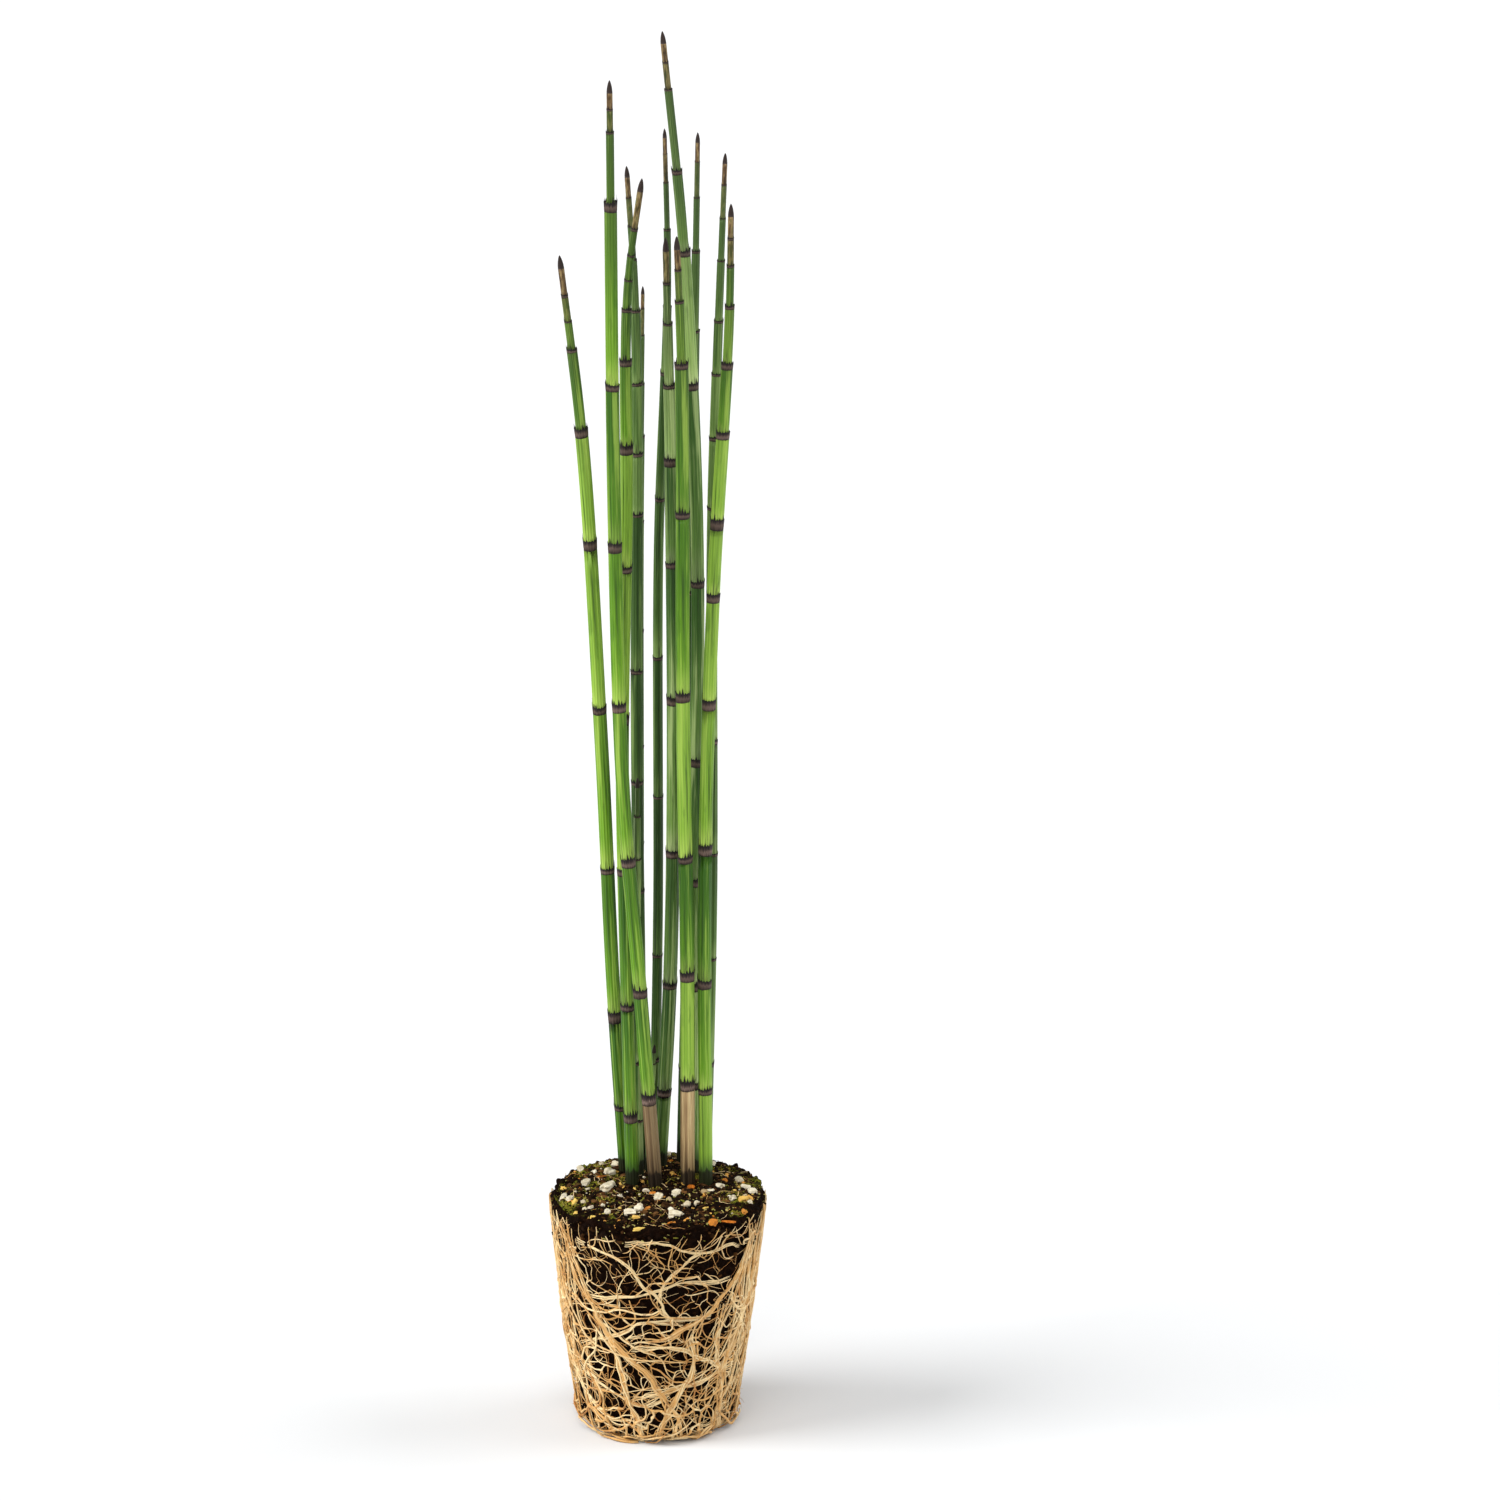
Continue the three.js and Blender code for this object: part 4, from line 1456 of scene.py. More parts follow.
def lumps_skin(kind: Lump, centres: Array, sizes: Array, tones: Array, random: Draws) -> Skin:
    """Many rough lumps: the same faceted ball, stretched, dented by noise and turned at random.

    Args:
        kind: the lumps' shape.
        centres: their middles.
        sizes: half widths along their own three axes.
        tones: a number from 0 to 1 for each, for the finish.
        random: seeded draws.

    Returns:
        One skin of them all.
    """
    splits, rough = kind.value
    ball, faces = icosphere(splits)
    count = len(centres)
    offset = random.uniform(0, 90, (count, 1, 3))
    dent = 1 + rough * lattice_noise(ball[None] * 1.7 + offset, 5)
    flat = np.clip(ball[None] * dent[..., None], -0.82, 0.82)
    turn = random_turns(random, count)
    points = np.einsum("nij,npj->npi", turn, flat * sizes[:, None]) + centres[:, None]
    triangles = (faces[None] + (np.arange(count) * len(ball))[:, None, None]).reshape(-1, 3)
    marks = {"tone": np.repeat(tones, len(ball))}
    return Skin(points.reshape(-1, 3), np.empty((0, 4), int), triangles, marks)


def random_turns(random: Draws, count: int) -> Array:
    """Turns that lie mostly flat: any turn about Z, then a lean of up to about 35 degrees.

    The lean is 1 + sin K + (1 - cos) K^2, where K crosses a vector with the level axis of the lean.

    Args:
        random: seeded draws.
        count: how many.

    Returns:
        Matrices as (turns, 3, 3).
    """
    about = random.uniform(0, TURN, count)
    lean = random.normal(0, 0.35, count)[:, None, None]
    way = random.uniform(0, TURN, count)
    c, s, x, y = np.cos(about), np.sin(about), np.cos(way), np.sin(way)
    spin = stacked(c, -s, 0.0, s, c, 0.0, 0.0, 0.0, 1.0).reshape(-1, 3, 3)
    cross = stacked(0.0, 0.0, y, 0.0, 0.0, -x, -y, x, 0.0).reshape(-1, 3, 3)
    return (np.eye(3) + np.sin(lean) * cross + (1 - np.cos(lean)) * (cross @ cross)) @ spin


# The largest grains of perlite that show: x, y, half length and half width.
PLACED_GRAINS = (
    (-22.8, 16.4, 3.1, 2.5), (-22.8, -1.6, 5.2, 2.7), (7.9, -9.8, 2.9, 1.9), (0, -14.9, 3.1, 2.2),
    (-5.8, -7.2, 2, 1.5), (-12.6, -31, 3.3, 2.2), (7.8, -33.5, 3.7, 2.3), (27.9, -0.6, 3.9, 1.7),
    (42.2, -4.2, 2.8, 2), (-40.1, -13.3, 2.4, 1.7), (-43, -9.3, 3.9, 1.7), (23.6, -5.7, 1.9, 1.4),
    (-8.2, -25, 2, 1.5), (33.5, -13, 3, 1.9), (-33, 6, 2.9, 2.2), (36, 10.5, 2.8, 1.9),
    (-17.5, -12.5, 1.8, 1.4), (17, -20.5, 1.9, 1.3), (-30.5, -24.5, 1.7, 1.2), (41, -15.5, 2.4, 1.5),
    (-20, 27, 2.6, 1.9), (24, 31, 2.8, 1.8), (3, 43, 2.5, 1.8), (-36, 24, 2.3, 1.6),
)
# The brightest chips of bark: x, y, half length, half width and tone.
PLACED_CHIPS = (
    (25, -38, 3, 2.2, 0.1), (31.5, -37.5, 4.4, 0.8, 0), (14.5, -1.2, 2.8, 2, 0),
    (-2.5, -10.6, 2, 1.5, 0.05), (38.5, -14, 3.2, 1.9, 0.7), (41.5, -11, 2.2, 1.4, 0.5),
    (-26, 12, 3.2, 1.4, 0.1), (-36.5, -29, 1.9, 1.2, 0.9), (11.5, 3.5, 2.3, 1.3, 0.6),
    (-19, 24, 2.8, 1, 0), (-9.5, -36.5, 2.7, 1.7, 0.75), (-38, -17.5, 2.2, 1.1, 0.9),
    (30, 8.5, 2, 1.2, 0.1), (-43.5, 1, 2.4, 1.2, 0.8), (12.5, -38.5, 2.2, 1, 0.3),
    (-8.5, -45.4, 3.4, 1.3, 0.95), (-18, -42.8, 1.8, 1, 0.3), (38.8, -25, 2.2, 1.5, 0.2),
    (-29, -34.5, 1.6, 1.1, 0.9),
)


@dataclass
class Litter(Seeded):
    """The bits that show in the mix: crumbs, perlite, bark, ochre chips, moss and pale fibres."""

    seed: int = 23
    mix: PottingMix = field(default_factory=PottingMix)
    crumbs: int = 4200
    side_crumbs: int = 1000
    rim_crumbs: int = 420
    flecks: int = 700
    grains: int = 54
    side_grains: int = 6
    bark: int = 190
    chips: int = 110
    sprigs: int = 4200
    sprig_steps: int = 4
    fibres: int = 52
    fibre_steps: int = 10
    fibre_reach: float = 46.5
    shallowest: float = 1.5

    def build(self) -> None:
        """Makes every kind of bit as a piece of its own and dresses it."""
        self._build_crumbs()
        self._build_grains()
        self._build_bark()
        self._build_moss()
        self._build_flecks()
        self._build_fibres()

    def _dress(self, name: str, skins: list[Skin], finish: LitterFinish, smooth: bool = False) -> None:
        """Makes one piece of bits and dresses it."""
        finished(Skin.joined(skins).make(name, smooth), finish.material(), Slot.MIX, "soil")

    def _on_top(self, count: int, reach: float = 0.96, clearance: float = 0.0) -> Array:
        """Places on the soil's surface, clear of the stems.

        Args:
            count: how many.
            reach: how far out they may lie, as a share of the rim's radius.
            clearance: how far they keep off the stems.

        Returns:
            Points on the surface.
        """
        tries = 3 * count + 60
        distance = BALL.rim_radius * reach * np.sqrt(self.random.uniform(0, 1, tries))
        angle = self.random.uniform(0, 2 * math.pi, tries)
        x, y = distance * np.cos(angle), distance * np.sin(angle)
        gaps = [np.hypot(x - s.path[0][0], y - s.path[0][1]) - s.radius for s in STEMS]
        clear = np.minimum.reduce(gaps) > clearance
        x, y = x[clear][:count], y[clear][:count]
        return stacked(x, y, BALL.surface(x, y))

    def _on_side(self, count: int, sink: float, deepest: float = BALL.side_length) -> Array:
        """Places on the root ball's side, more of them near the rim.

        Args:
            count: how many.
            sink: how far they are sunk in.
            deepest: how far down from the rim they may lie.

        Returns:
            Points just under the skin.
        """
        angle = self.random.uniform(0, 2 * math.pi, count)
        share = self.random.uniform(0, 1, count) ** 1.5
        point, outward = BALL.skin_frame(angle, self.shallowest + (deepest - self.shallowest) * share)
        return point - sink * outward

    def _tones(self, count: int, power: float = 1.0) -> Array:
        """A tone for each bit, mostly low if the power is high."""
        return self.random.uniform(0, 1, count) ** power

    def _lumps(self, kind: Lump, centres: Array, sizes: Array, most: float = 1.0, power: float = 1.0) -> Skin:
        """Lumps at some places, with tones of up to the most."""
        return lumps_skin(kind, centres, sizes, most * self._tones(len(centres), power), self.random)

    def _sizes(self, count: int, low: float, high: float, stretch: float, flat: float) -> Array:
        """Half widths of lumps, mostly small: up to a stretch as long as wide, and flattened."""
        size = low + (high - low) * self.random.uniform(0, 1, count) ** 2.4
        return stacked(size * self.random.uniform(1, stretch, count), size, size * flat)

    def _shrunk(self, centres: Array, sizes: Array) -> Array:
        """Half widths of bits, less towards the rim, where the mix has crumbled away."""
        out = np.hypot(centres[:, 0], centres[:, 1]) / BALL.rim_radius
        return sizes * (1 - 0.55 * smoothstep(out, 0.84, 0.98) * (centres[:, 2] > BALL.rim - 3.0))[:, None]

    def _placed_bits(self, places: Array, flat: float) -> Pair:
        """Middles and half widths of bits whose x, y, half length and half width are given."""
        x, y, long, wide = places
        return stacked(x, y, BALL.surface(x, y) + 0.3 * wide), stacked(long, wide, flat * wide)

    def _build_crumbs(self) -> None:
        """Dark crumbs of peat over the surface and in the side."""
        top = self._on_top(self.crumbs, 0.955)
        side = self._on_side(self.side_crumbs, 0.6)
        rim = self._on_side(self.rim_crumbs, 0.7, 20.0)
        centres = np.vstack([top, side, rim])
        sizes = self._shrunk(centres, self._sizes(len(centres), 0.3, 1.45, 1.8, 0.75))
        sizes[-len(rim) :] *= 1.5
        skin = self._lumps(Lump.CRUMB, centres, sizes, 0.7, 5)
        finish = LitterFinish("peat crumbs", "080401", "1f1006", "5c3a1a", 0.0018, (0.7, 0.95), 0.0003)
        self._dress("peat_crumbs", [skin], finish)

    def _build_grains(self) -> None:
        """White grains of perlite, half sunk in the surface, with a few in the side."""
        top = self._on_top(self.grains, 0.93, 0.6)
        side = self._on_side(self.side_grains, 0.5)
        small = np.vstack([top, side]) + [0, 0, 0.35]
        small_sizes = self._shrunk(small, self._sizes(len(small), 0.35, 2.2, 1.6, 0.75))
        large, large_sizes = self._placed_bits(np.array(PLACED_GRAINS).T, 0.8)
        skins = [self._lumps(Lump.LARGE_GRAIN, large, large_sizes, 0.2)]
        skins.append(self._lumps(Lump.GRAIN, small, small_sizes, 0.9, 2.5))
        finish = LitterFinish("perlite", "b9ab8c", "e6dfca", "937a50", 0.0022, (0.75, 0.95), 0.0003)
        self._dress("perlite_grains", skins, finish)

    def _build_bark(self) -> None:
        """Flat bits of bark, brown, and the brighter chips, ochre to orange."""
        for name, count, placed, colours, size in (
            ("bark_bits", self.bark, (), ("130a05", "3a2310", "6a4825"), (0.5, 1.9)),
            ("ochre_chips", self.chips, PLACED_CHIPS, ("8a4412", "cd7a28", "dcbb62"), (0.3, 1.4)),
        ):
            centres = self._on_top(count, 0.95) + [0, 0, 0.45]
            sizes = self._shrunk(centres, self._sizes(len(centres), *size, 2.3, 0.45))
            skins = [self._lumps(Lump.CHIP, centres, sizes)]
            if placed:
                *places, tones = np.array(placed).T
                centres, sizes = self._placed_bits(np.array(places), 0.7)
                skins.append(lumps_skin(Lump.LARGE_GRAIN, centres, sizes, tones, self.random))
            finish = LitterFinish(name.replace("_", " "), *colours, 0.0015, (0.6, 0.85), 0.0002)
            self._dress(name, skins, finish)

    def _build_moss(self) -> None:
        """Moss: many short pointed sprigs, each a slim closed cone, where the patches are."""
        places = self._on_top(4 * self.sprigs, 0.955)
        share = self.mix.moss(places[:, 0], places[:, 1])
        places = places[self.random.uniform(0, 1, len(places)) < share][: self.sprigs]
        count = len(places)
        lean = self.random.normal(0, 0.9, (count, 2))
        up = unit(stacked(lean[:, 0], lean[:, 1], 1.0))[:, None]
        length = self.random.uniform(0.35, 0.95, count)[:, None, None]
        t = np.linspace(0, 0.85, self.sprig_steps)[None, :, None]
        curl = self.random.normal(0, 0.35, (count, 1, 3))
        centres = places[:, None] - 0.2 * up + length * (t * up + t**2 * curl)
        outward = np.broadcast_to(np.array([1.0, 0.2, 0.1]), centres.shape)
        radius = self.random.uniform(0.18, 0.36, (count, 1)) * (1 - 0.6 * t[..., 0] ** 1.5)
        skin = tubes_skin(Strands(centres, outward, radius, 0.6, self._tones(count)), 3)
        finish = LitterFinish("moss", "454a12", "857f26", "b8a640", 0.0012, (0.6, 0.85), 0.0002)
        self._dress("moss_sprigs", [skin], finish, smooth=True)

    def _build_flecks(self) -> None:
        """Flecks of yellow-green lichen and dry leaf, strewn over the surface and its rim."""
        top = self._on_top(self.flecks, 0.965) + [0, 0, 0.3]
        rim = self._on_side(self.flecks // 6, 0.1, 9.0)
        centres = np.vstack([top, rim])
        sizes = self._sizes(len(centres), 0.2, 0.75, 3.0, 0.5)
        skin = self._lumps(Lump.CHIP, centres, sizes, power=1.5)
        finish = LitterFinish("lichen flecks", "454612", "7c7728", "b7a968", 0.0009, (0.7, 0.95), 0.0002)
        self._dress("lichen_flecks", [skin], finish)

    def _build_fibres(self) -> None:
        """Fine pale fibres that lie over the surface in loose curves."""
        start = self._on_top(self.fibres, 0.9)
        count, steps = len(start), self.fibre_steps
        heading = self.random.uniform(0, TURN, (count, 1))
        heading = heading + np.cumsum(self.random.normal(0, 0.35, (count, steps)), axis=1)
        stride = self.random.uniform(0.7, 2.0, (count, 1))
        x = start[:, :1] + np.cumsum(stride * np.cos(heading), axis=1)
        y = start[:, 1:2] + np.cumsum(stride * np.sin(heading), axis=1)
        inside = np.minimum(1, self.fibre_reach / np.hypot(x, y))
        x, y = x * inside, y * inside
        centres = stacked(x, y, BALL.surface(x, y) + 0.7 + 0.5 * lattice_noise(stacked(x, y, 0.0) / 4, 9))
        radius = self.random.uniform(0.1, 0.26, (count, 1)) * np.linspace(1, 0.5, steps)
        up = np.broadcast_to(np.array([0.0, 0.0, 1.0]), centres.shape)
        skin = tubes_skin(Strands(centres, up, radius, 0.8, self._tones(count, 2)), 4)
        finished(skin.make("surface_fibres"), root_material(), Slot.MIX, "soil")


# ---------------- roots


@dataclass
class Strands:
    """Many strands of the same number of steps, each with a tone for its finish."""

    centres: Array
    outward: Array
    radius: Array
    flatness: float
    tone: Array


def tubes_skin(strands: Strands, sides: int) -> Skin:
    """Closed tubes round strands.

    At each step the ring lies across the strand: a point is the centre, plus the radius times the
    cosine of its turn across, plus the flattened radius times the sine of its turn outward.

    Args:
        strands: the strands.
        sides: points of a ring.

    Returns:
        One skin of them all, nothing of it below the ground.
    """
    centres, radius = strands.centres, strands.radius
    tubes, steps = radius.shape
    centres[..., 2] = np.maximum(centres[..., 2], 0.8 * strands.flatness * radius + GROUND_GAP)
    along = unit(np.gradient(centres, axis=1))
    across = unit(np.cross(strands.outward, along))
    up = np.cross(along, across)
    cos, sin = np.cos(circle(sides)), np.sin(circle(sides))
    wide = cos[:, None] * across[:, :, None]
    high = strands.flatness * sin[:, None] * up[:, :, None]
    rings = centres[:, :, None] + radius[..., None, None] * (wide + high)
    start = centres[:, 0] - 0.6 * radius[:, :1] * along[:, 0]
    end = centres[:, -1] + 1.2 * radius[:, -1:] * along[:, -1]
    points, quads, triangles = closed_tubes(rings, np.stack([start, end], axis=1))
    points[:, 2] = np.maximum(points[:, 2], GROUND_GAP)
    run = np.cumsum(np.linalg.norm(np.diff(centres, axis=1), axis=-1), axis=1)
    run = np.hstack([np.zeros((tubes, 1)), run]) + STRAND_SHIFT * np.arange(tubes)[:, None]
    ring = np.vstack([np.tile(0.6 * stacked(cos, sin), (steps, 1)), np.zeros((2, 2))])
    strand = np.hstack([np.tile(ring, (tubes, 1)), each_vertex(run, sides)[:, None]])
    tone = np.repeat(strands.tone, steps * sides + 2)
    return Skin(points, quads, triangles, {"tone": tone, "strand": strand})


@lru_cache(None)
def root_material() -> Material:
    """The roots' finish, made once."""
    return RootFinish().material()


# Main roots of the front: width, and a route of (degrees round from the front, millimetres down).
FRONT_ROOTS = (
    (2.9, ((-58, 4), (-46, 34), (-30, 57), (-5, 76), (13, 95), (19, 113))),
    (2.8, ((66, 6), (51, 29), (30, 45), (8, 53), (-15, 58))),
    (2.5, ((-40, 46), (-29, 62), (-23, 80), (-12, 112))),
    (2.5, ((25, 45), (22, 58), (23, 72), (10, 88), (-5, 112))),
    (2.3, ((76, 52), (60, 80), (45, 95), (38, 113))),
    (0.9, ((-18, 7), (0, 6), (21, 11), (52, 13))),
    (1.1, ((-50, 10), (-22, 16), (-4, 30), (10, 45), (32, 47))),
    (1.2, ((-2, 36), (9, 22), (26, 10))),
    (2.2, ((-88, 60), (-66, 82), (-45, 95), (-14, 99))),
    (2.0, ((-20, 88), (5, 82), (27, 79), (45, 74), (62, 62))),
    (2.2, ((42, 42), (38, 61), (46, 76), (50, 113))),
    (1.4, ((-58, 65), (-30, 54), (-5, 46), (16, 48))),
    (1.0, ((-50, 38), (-10, 32), (14, 27), (46, 29))),
    (1.7, ((-60, 74), (-35, 84), (-13, 89), (8, 84))),
    (1.7, ((-18, 59), (4, 59), (30, 67), (60, 77))),
)


@dataclass(frozen=True)
class Growth:
    """How a family of roots grows over the root ball's skin.

    Angles are in degrees: around from the front, and headings from straight down. Sizes are in
    millimetres. Deeper is the power of the draw for how far down a root starts.
    """

    count: int
    down: Span
    heading: Span
    length: Span
    radius: Span
    wander: float
    tone: Span
    steps: int
    sides: int = 5
    around: Span = (0, 360)
    deeper: float = 1.0
    lift: Span = (0.25, 1.0)


RUNNERS = Growth(60, (4, 100), (8, 80), (30, 80), (0.26, 0.6), 0.2, (0.0, 0.8), 28, deeper=0.8)
# The left family's tones run darker than the right family's: painted shade that tones down the side which the
# strongest lamp lights.
LEFT_ROOTS = Growth(
    46, (0.5, 40), (0, 14), (60, 110), (0.26, 0.55), 0.08, (0.2, 0.6), 26, around=(-98, -54), deeper=1.2
)
RIGHT_ROOTS = replace(LEFT_ROOTS, around=(56, 100), tone=(0.1, 0.45))
BACK_ROOTS = replace(
    LEFT_ROOTS, count=30, around=(130, 230), down=(1, 40), deeper=1.0, heading=(0, 16), tone=(0.0, 0.45)
)
UNDER_ROOTS = Growth(44, (97, 112), (0, 85), (18, 50), (0.3, 0.65), 0.22, (0.2, 0.9), 18, lift=(0.2, 1.6))
LOOPS = Growth(36, (102, 108), (70, 100), (12, 30), (0.36, 0.75), 0.2, (0.1, 0.8), 18, lift=(0.6, 2.8))
WISPS = Growth(56, (4, 46), (30, 85), (12, 34), (0.16, 0.34), 0.22, (0.0, 0.4), 16, 4, deeper=0.9)
HANGING = Growth(120, (0.5, 11), (0, 50), (8, 26), (0.16, 0.34), 0.24, (0.0, 0.6), 16, 4)
TWIGS = Growth(300, (6, 122), (22, 75), (5, 16), (0.14, 0.32), 0.34, (0.0, 0.85), 11, 4)


@dataclass(frozen=True)
class Web:
    """A web of short roots between knots that are strewn over the root ball's skin.

    Sizes are in millimetres. Extra links and bare are shares: of the longer links that are made
    too, and of the knots that are left out at the top of the front.
    """

    cell: float
    down: Span
    radius: Span
    lift: Span
    extra_links: float
    bare: float
    tone: Span
    steps: int
    sides: int


COARSE_WEB = Web(6.1, (6, 124), (0.3, 0.96), (0.2, 1.05), 0.22, 0.86, (0.0, 0.75), 9, 6)
FINE_WEB = Web(5.4, (3, 122), (0.15, 0.34), (0.1, 0.7), 0.12, 0.36, (0.3, 1.15), 7, 4)


@dataclass
class RootNet(Seeded):
    """The roots on the side of the root ball, round its lower edge and under its foot."""

    seed: int = 7
    net_seed: int = 11
    side_roots: int = 12
    girdle_roots: int = 8
    steps: int = 54
    core_sides: int = 8
    bundle_strands: int = 4
    bundle_sides: int = 5
    highest: float = 0.8
    lowest: float = 131.0
    whiskers: int = 330
    whisker_steps: int = 9
    low_whiskers: float = 0.6

    def _main_routes(self) -> list[Route]:
        """Widths and routes of the main roots: the front's, the sides' and those round the back.

        Returns:
            Rows like those of FRONT_ROOTS.
        """
        shares = seeded_shares(self.net_seed)

        def between(low: float, high: float) -> float:
            """The next draw, from low to high."""
            return low + (high - low) * next(shares)

        routes = list(FRONT_ROOTS)
        for i in range(self.side_roots):
            start = 72 + 216 * (i + 0.5 * next(shares)) / self.side_roots
            drift = (1 if i % 2 else -1) * between(12, 30)
            top = between(2, 20)
            width = between(1.9, 2.9)
            upper, lower = between(35, 45), between(65, 80)
            end = (start + between(1.2, 2) * drift, between(111, 114))
            middle = ((start + 0.5 * drift, upper), (start + 1.3 * drift, lower))
            routes.append((width, ((start, top), *middle, end)))
        for i in range(self.girdle_roots):
            level = 22 + 76 * i / (self.girdle_roots - 1)
            start = between(120, 150) if i % 2 else between(45, 60)
            sweep = between(150, 165)
            width = between(1.6, 2.2)
            route = tuple((start + share * sweep, level + between(-6, 6)) for share in (0, 0.3, 0.6, 1))
            routes.append((width, route))
        return routes

    @cached_property
    def main_lines(self) -> Pair:
        """The main roots' lines, which sway a little about their routes.

        Returns:
            Lines as (roots, steps, [radians from +X, millimetres down]), and the roots' widths.
        """
        mean = BALL.mean_radius
        lines, widths = [], []
        for width, route in self._main_routes():
            path = SmoothPath([(mean * math.radians(degrees - 90), down) for degrees, down in route])
            line = path.at(np.linspace(0, path.length, self.steps))
            place = stacked(line[:, 0], line[:, 1], 0.0) / 9
            for strength, fineness, seed in ((1.1, 1.0, 81), (0.5, 2.7, 83)):
                sway = [lattice_noise(fineness * place, seed + k) for k in (0, 1)]
                line = line + strength * stacked(*sway)
            lines.append(stacked(line[:, 0] / mean, line[:, 1]))
            widths.append(width)
        return np.array(lines), np.array(widths)

    def _placed(self, angle: Array, down: Array, lift: Array) -> Pair:
        """Points that stand off the skin by a lift, and the outward directions there."""
        point, outward = BALL.skin_frame(angle, down)
        return point + lift[..., None] * outward, outward

    def _bundles(self) -> list[Skin]:
        """The main roots: a broad flat core each, and thinner strands that wind along it.

        Returns:
            The cores' skin and those of the strands.
        """
        lines, widths = self.main_lines
        count = len(lines)
        tone = np.clip(0.2 + 0.24 * (widths - 1.4), 0, 1)
        widths = widths[:, None]
        t = np.linspace(0, 1, self.steps)[None]
        ends = np.minimum(1, 5 * np.minimum(t, 1 - t)) ** 0.7
        core = (0.2 + 0.03 * widths) * widths * (0.3 + 0.7 * ends)
        centres, outward = self._placed(lines[..., 0], lines[..., 1], 0.55 * core + 0.35)
        knobs = 1 + 0.4 * lattice_noise(centres / 4.5, 3)
        skins = [tubes_skin(Strands(centres, outward, core * knobs, 0.75, tone), self.core_sides)]
        slope = unit(np.gradient(lines, axis=1) * [BALL.mean_radius, 1.0])
        for number in range(self.bundle_strands):
            phase = self.random.uniform(0, TURN, (count, 1))
            winding = TURN * self.random.uniform(1.0, 2.6, (count, 1)) * t + phase
            fray = (number - 1.5) * 1.4 * np.maximum(0, np.abs(2 * t - 1) - 0.4)
            across = 0.48 * widths * np.sin(winding) + fray * widths
            angle = lines[..., 0] + across * slope[..., 1] / BALL.mean_radius
            down = np.maximum(lines[..., 1] - across * slope[..., 0], 1.0)
            thick = self.random.uniform(0.24, 0.42, (count, 1)) * (0.5 + 0.5 * ends) * np.sqrt(widths / 2)
            lift = 0.35 + thick + 0.5 * core * (1 + np.cos(winding))
            centres, outward = self._placed(angle, down, lift)
            paler = np.clip(tone - self.random.uniform(0, 0.45, count), 0, 1)
            skins.append(tubes_skin(Strands(centres, outward, thick, 0.85, paler), self.bundle_sides))
        return skins

    def _grown(self, growth: Growth) -> Pair:
        """Lines of a family of roots, which start anywhere in its range.

        Args:
            growth: the family.

        Returns:
            Radians from +X and millimetres down, each as (roots, steps).
        """
        draw, count = self.random, growth.count
        angle = np.radians(draw.uniform(*growth.around, count) - 90)
        share = draw.uniform(0, 1, count) ** growth.deeper
        down = growth.down[0] + (growth.down[1] - growth.down[0]) * share
        aim = np.radians(draw.uniform(*growth.heading, count)) * draw.choice([-1, 1], count)
        return self._walked(angle, down, aim, growth)

    def _walked(self, angle: Array, down: Array, aim: Array, growth: Growth) -> Pair:
        """Walks roots over the skin: each steps on in its heading, which turns little by little.

        Args:
            angle: where they start, in radians from +X.
            down: how far down they start.
            aim: their headings, in radians from straight down.
            growth: the family, for its length, steps and wander.

        Returns:
            Radians from +X and millimetres down, each as (roots, steps).
        """
        count = len(angle)
        stride = self.random.uniform(*growth.length, count) / growth.steps
        heading = aim
        bend = np.zeros(count)
        angles, downs = [angle], [down]
        for _ in range(growth.steps - 1):
            bend = 0.72 * bend + growth.wander * self.random.normal(0, 1, count) * np.sqrt(stride)
            heading = heading + bend * 0.5 + 0.05 * np.sin(aim - heading)
            turned_down = 0.8 * np.arctan2(np.sin(heading), np.abs(np.cos(heading)))
            heading = np.where(down < 3.0, turned_down, heading)
            heading = np.where(down > self.lowest - 4.0, heading + 0.9, heading)
            reach = np.linalg.norm(BALL.points(angle, down)[..., :2], axis=-1)
            angle = angle + stride * np.sin(heading) / np.maximum(reach, 5.0)
            down = np.clip(down + stride * np.cos(heading), self.highest, self.lowest)
            angles.append(angle)
            downs.append(down)
        return np.stack(angles, axis=1), np.stack(downs, axis=1)

    def _strands(self, angle: Array, down: Array, growth: Growth) -> Strands:
        """Gives lines their thickness, their lift off the mix and their tone.

        Args:
            angle: radians from +X, as (roots, steps).
            down: millimetres down, as (roots, steps).
            growth: the family that they belong to.

        Returns:
            The strands.
        """
        draw = self.random
        count, steps = angle.shape
        t = np.linspace(0, 1, steps)[None]
        radius = draw.uniform(*growth.radius, (count, 1)) * (1 - 0.6 * t**2) * np.minimum(1, 0.6 + 4 * t)
        layer = draw.uniform(*growth.lift, (count, 1))
        weave = 0.35 * lattice_noise(BALL.points(angle, down) / 5.0 + layer[..., None] * 40, 12)
        centres, outward = self._placed(angle, down, np.maximum(0.1, layer + weave) + radius)
        radius = radius * (1 + 0.18 * lattice_noise(centres / 1.6, 4))
        return Strands(centres, outward, radius, 0.9, draw.uniform(*growth.tone, count))

    def _family(self, growth: Growth) -> Skin:
        """A family of roots that starts anywhere in its range."""
        return tubes_skin(self._strands(*self._grown(growth), growth), growth.sides)

    @staticmethod
    def _frontness(angle: Array) -> Array:
        """1 across the middle of the front, 0 at the sides and behind."""
        off = np.degrees(np.abs((angle + 1.5 * math.pi) % (2 * math.pi) - math.pi))
        return smoothstep(-off, -66, -42)

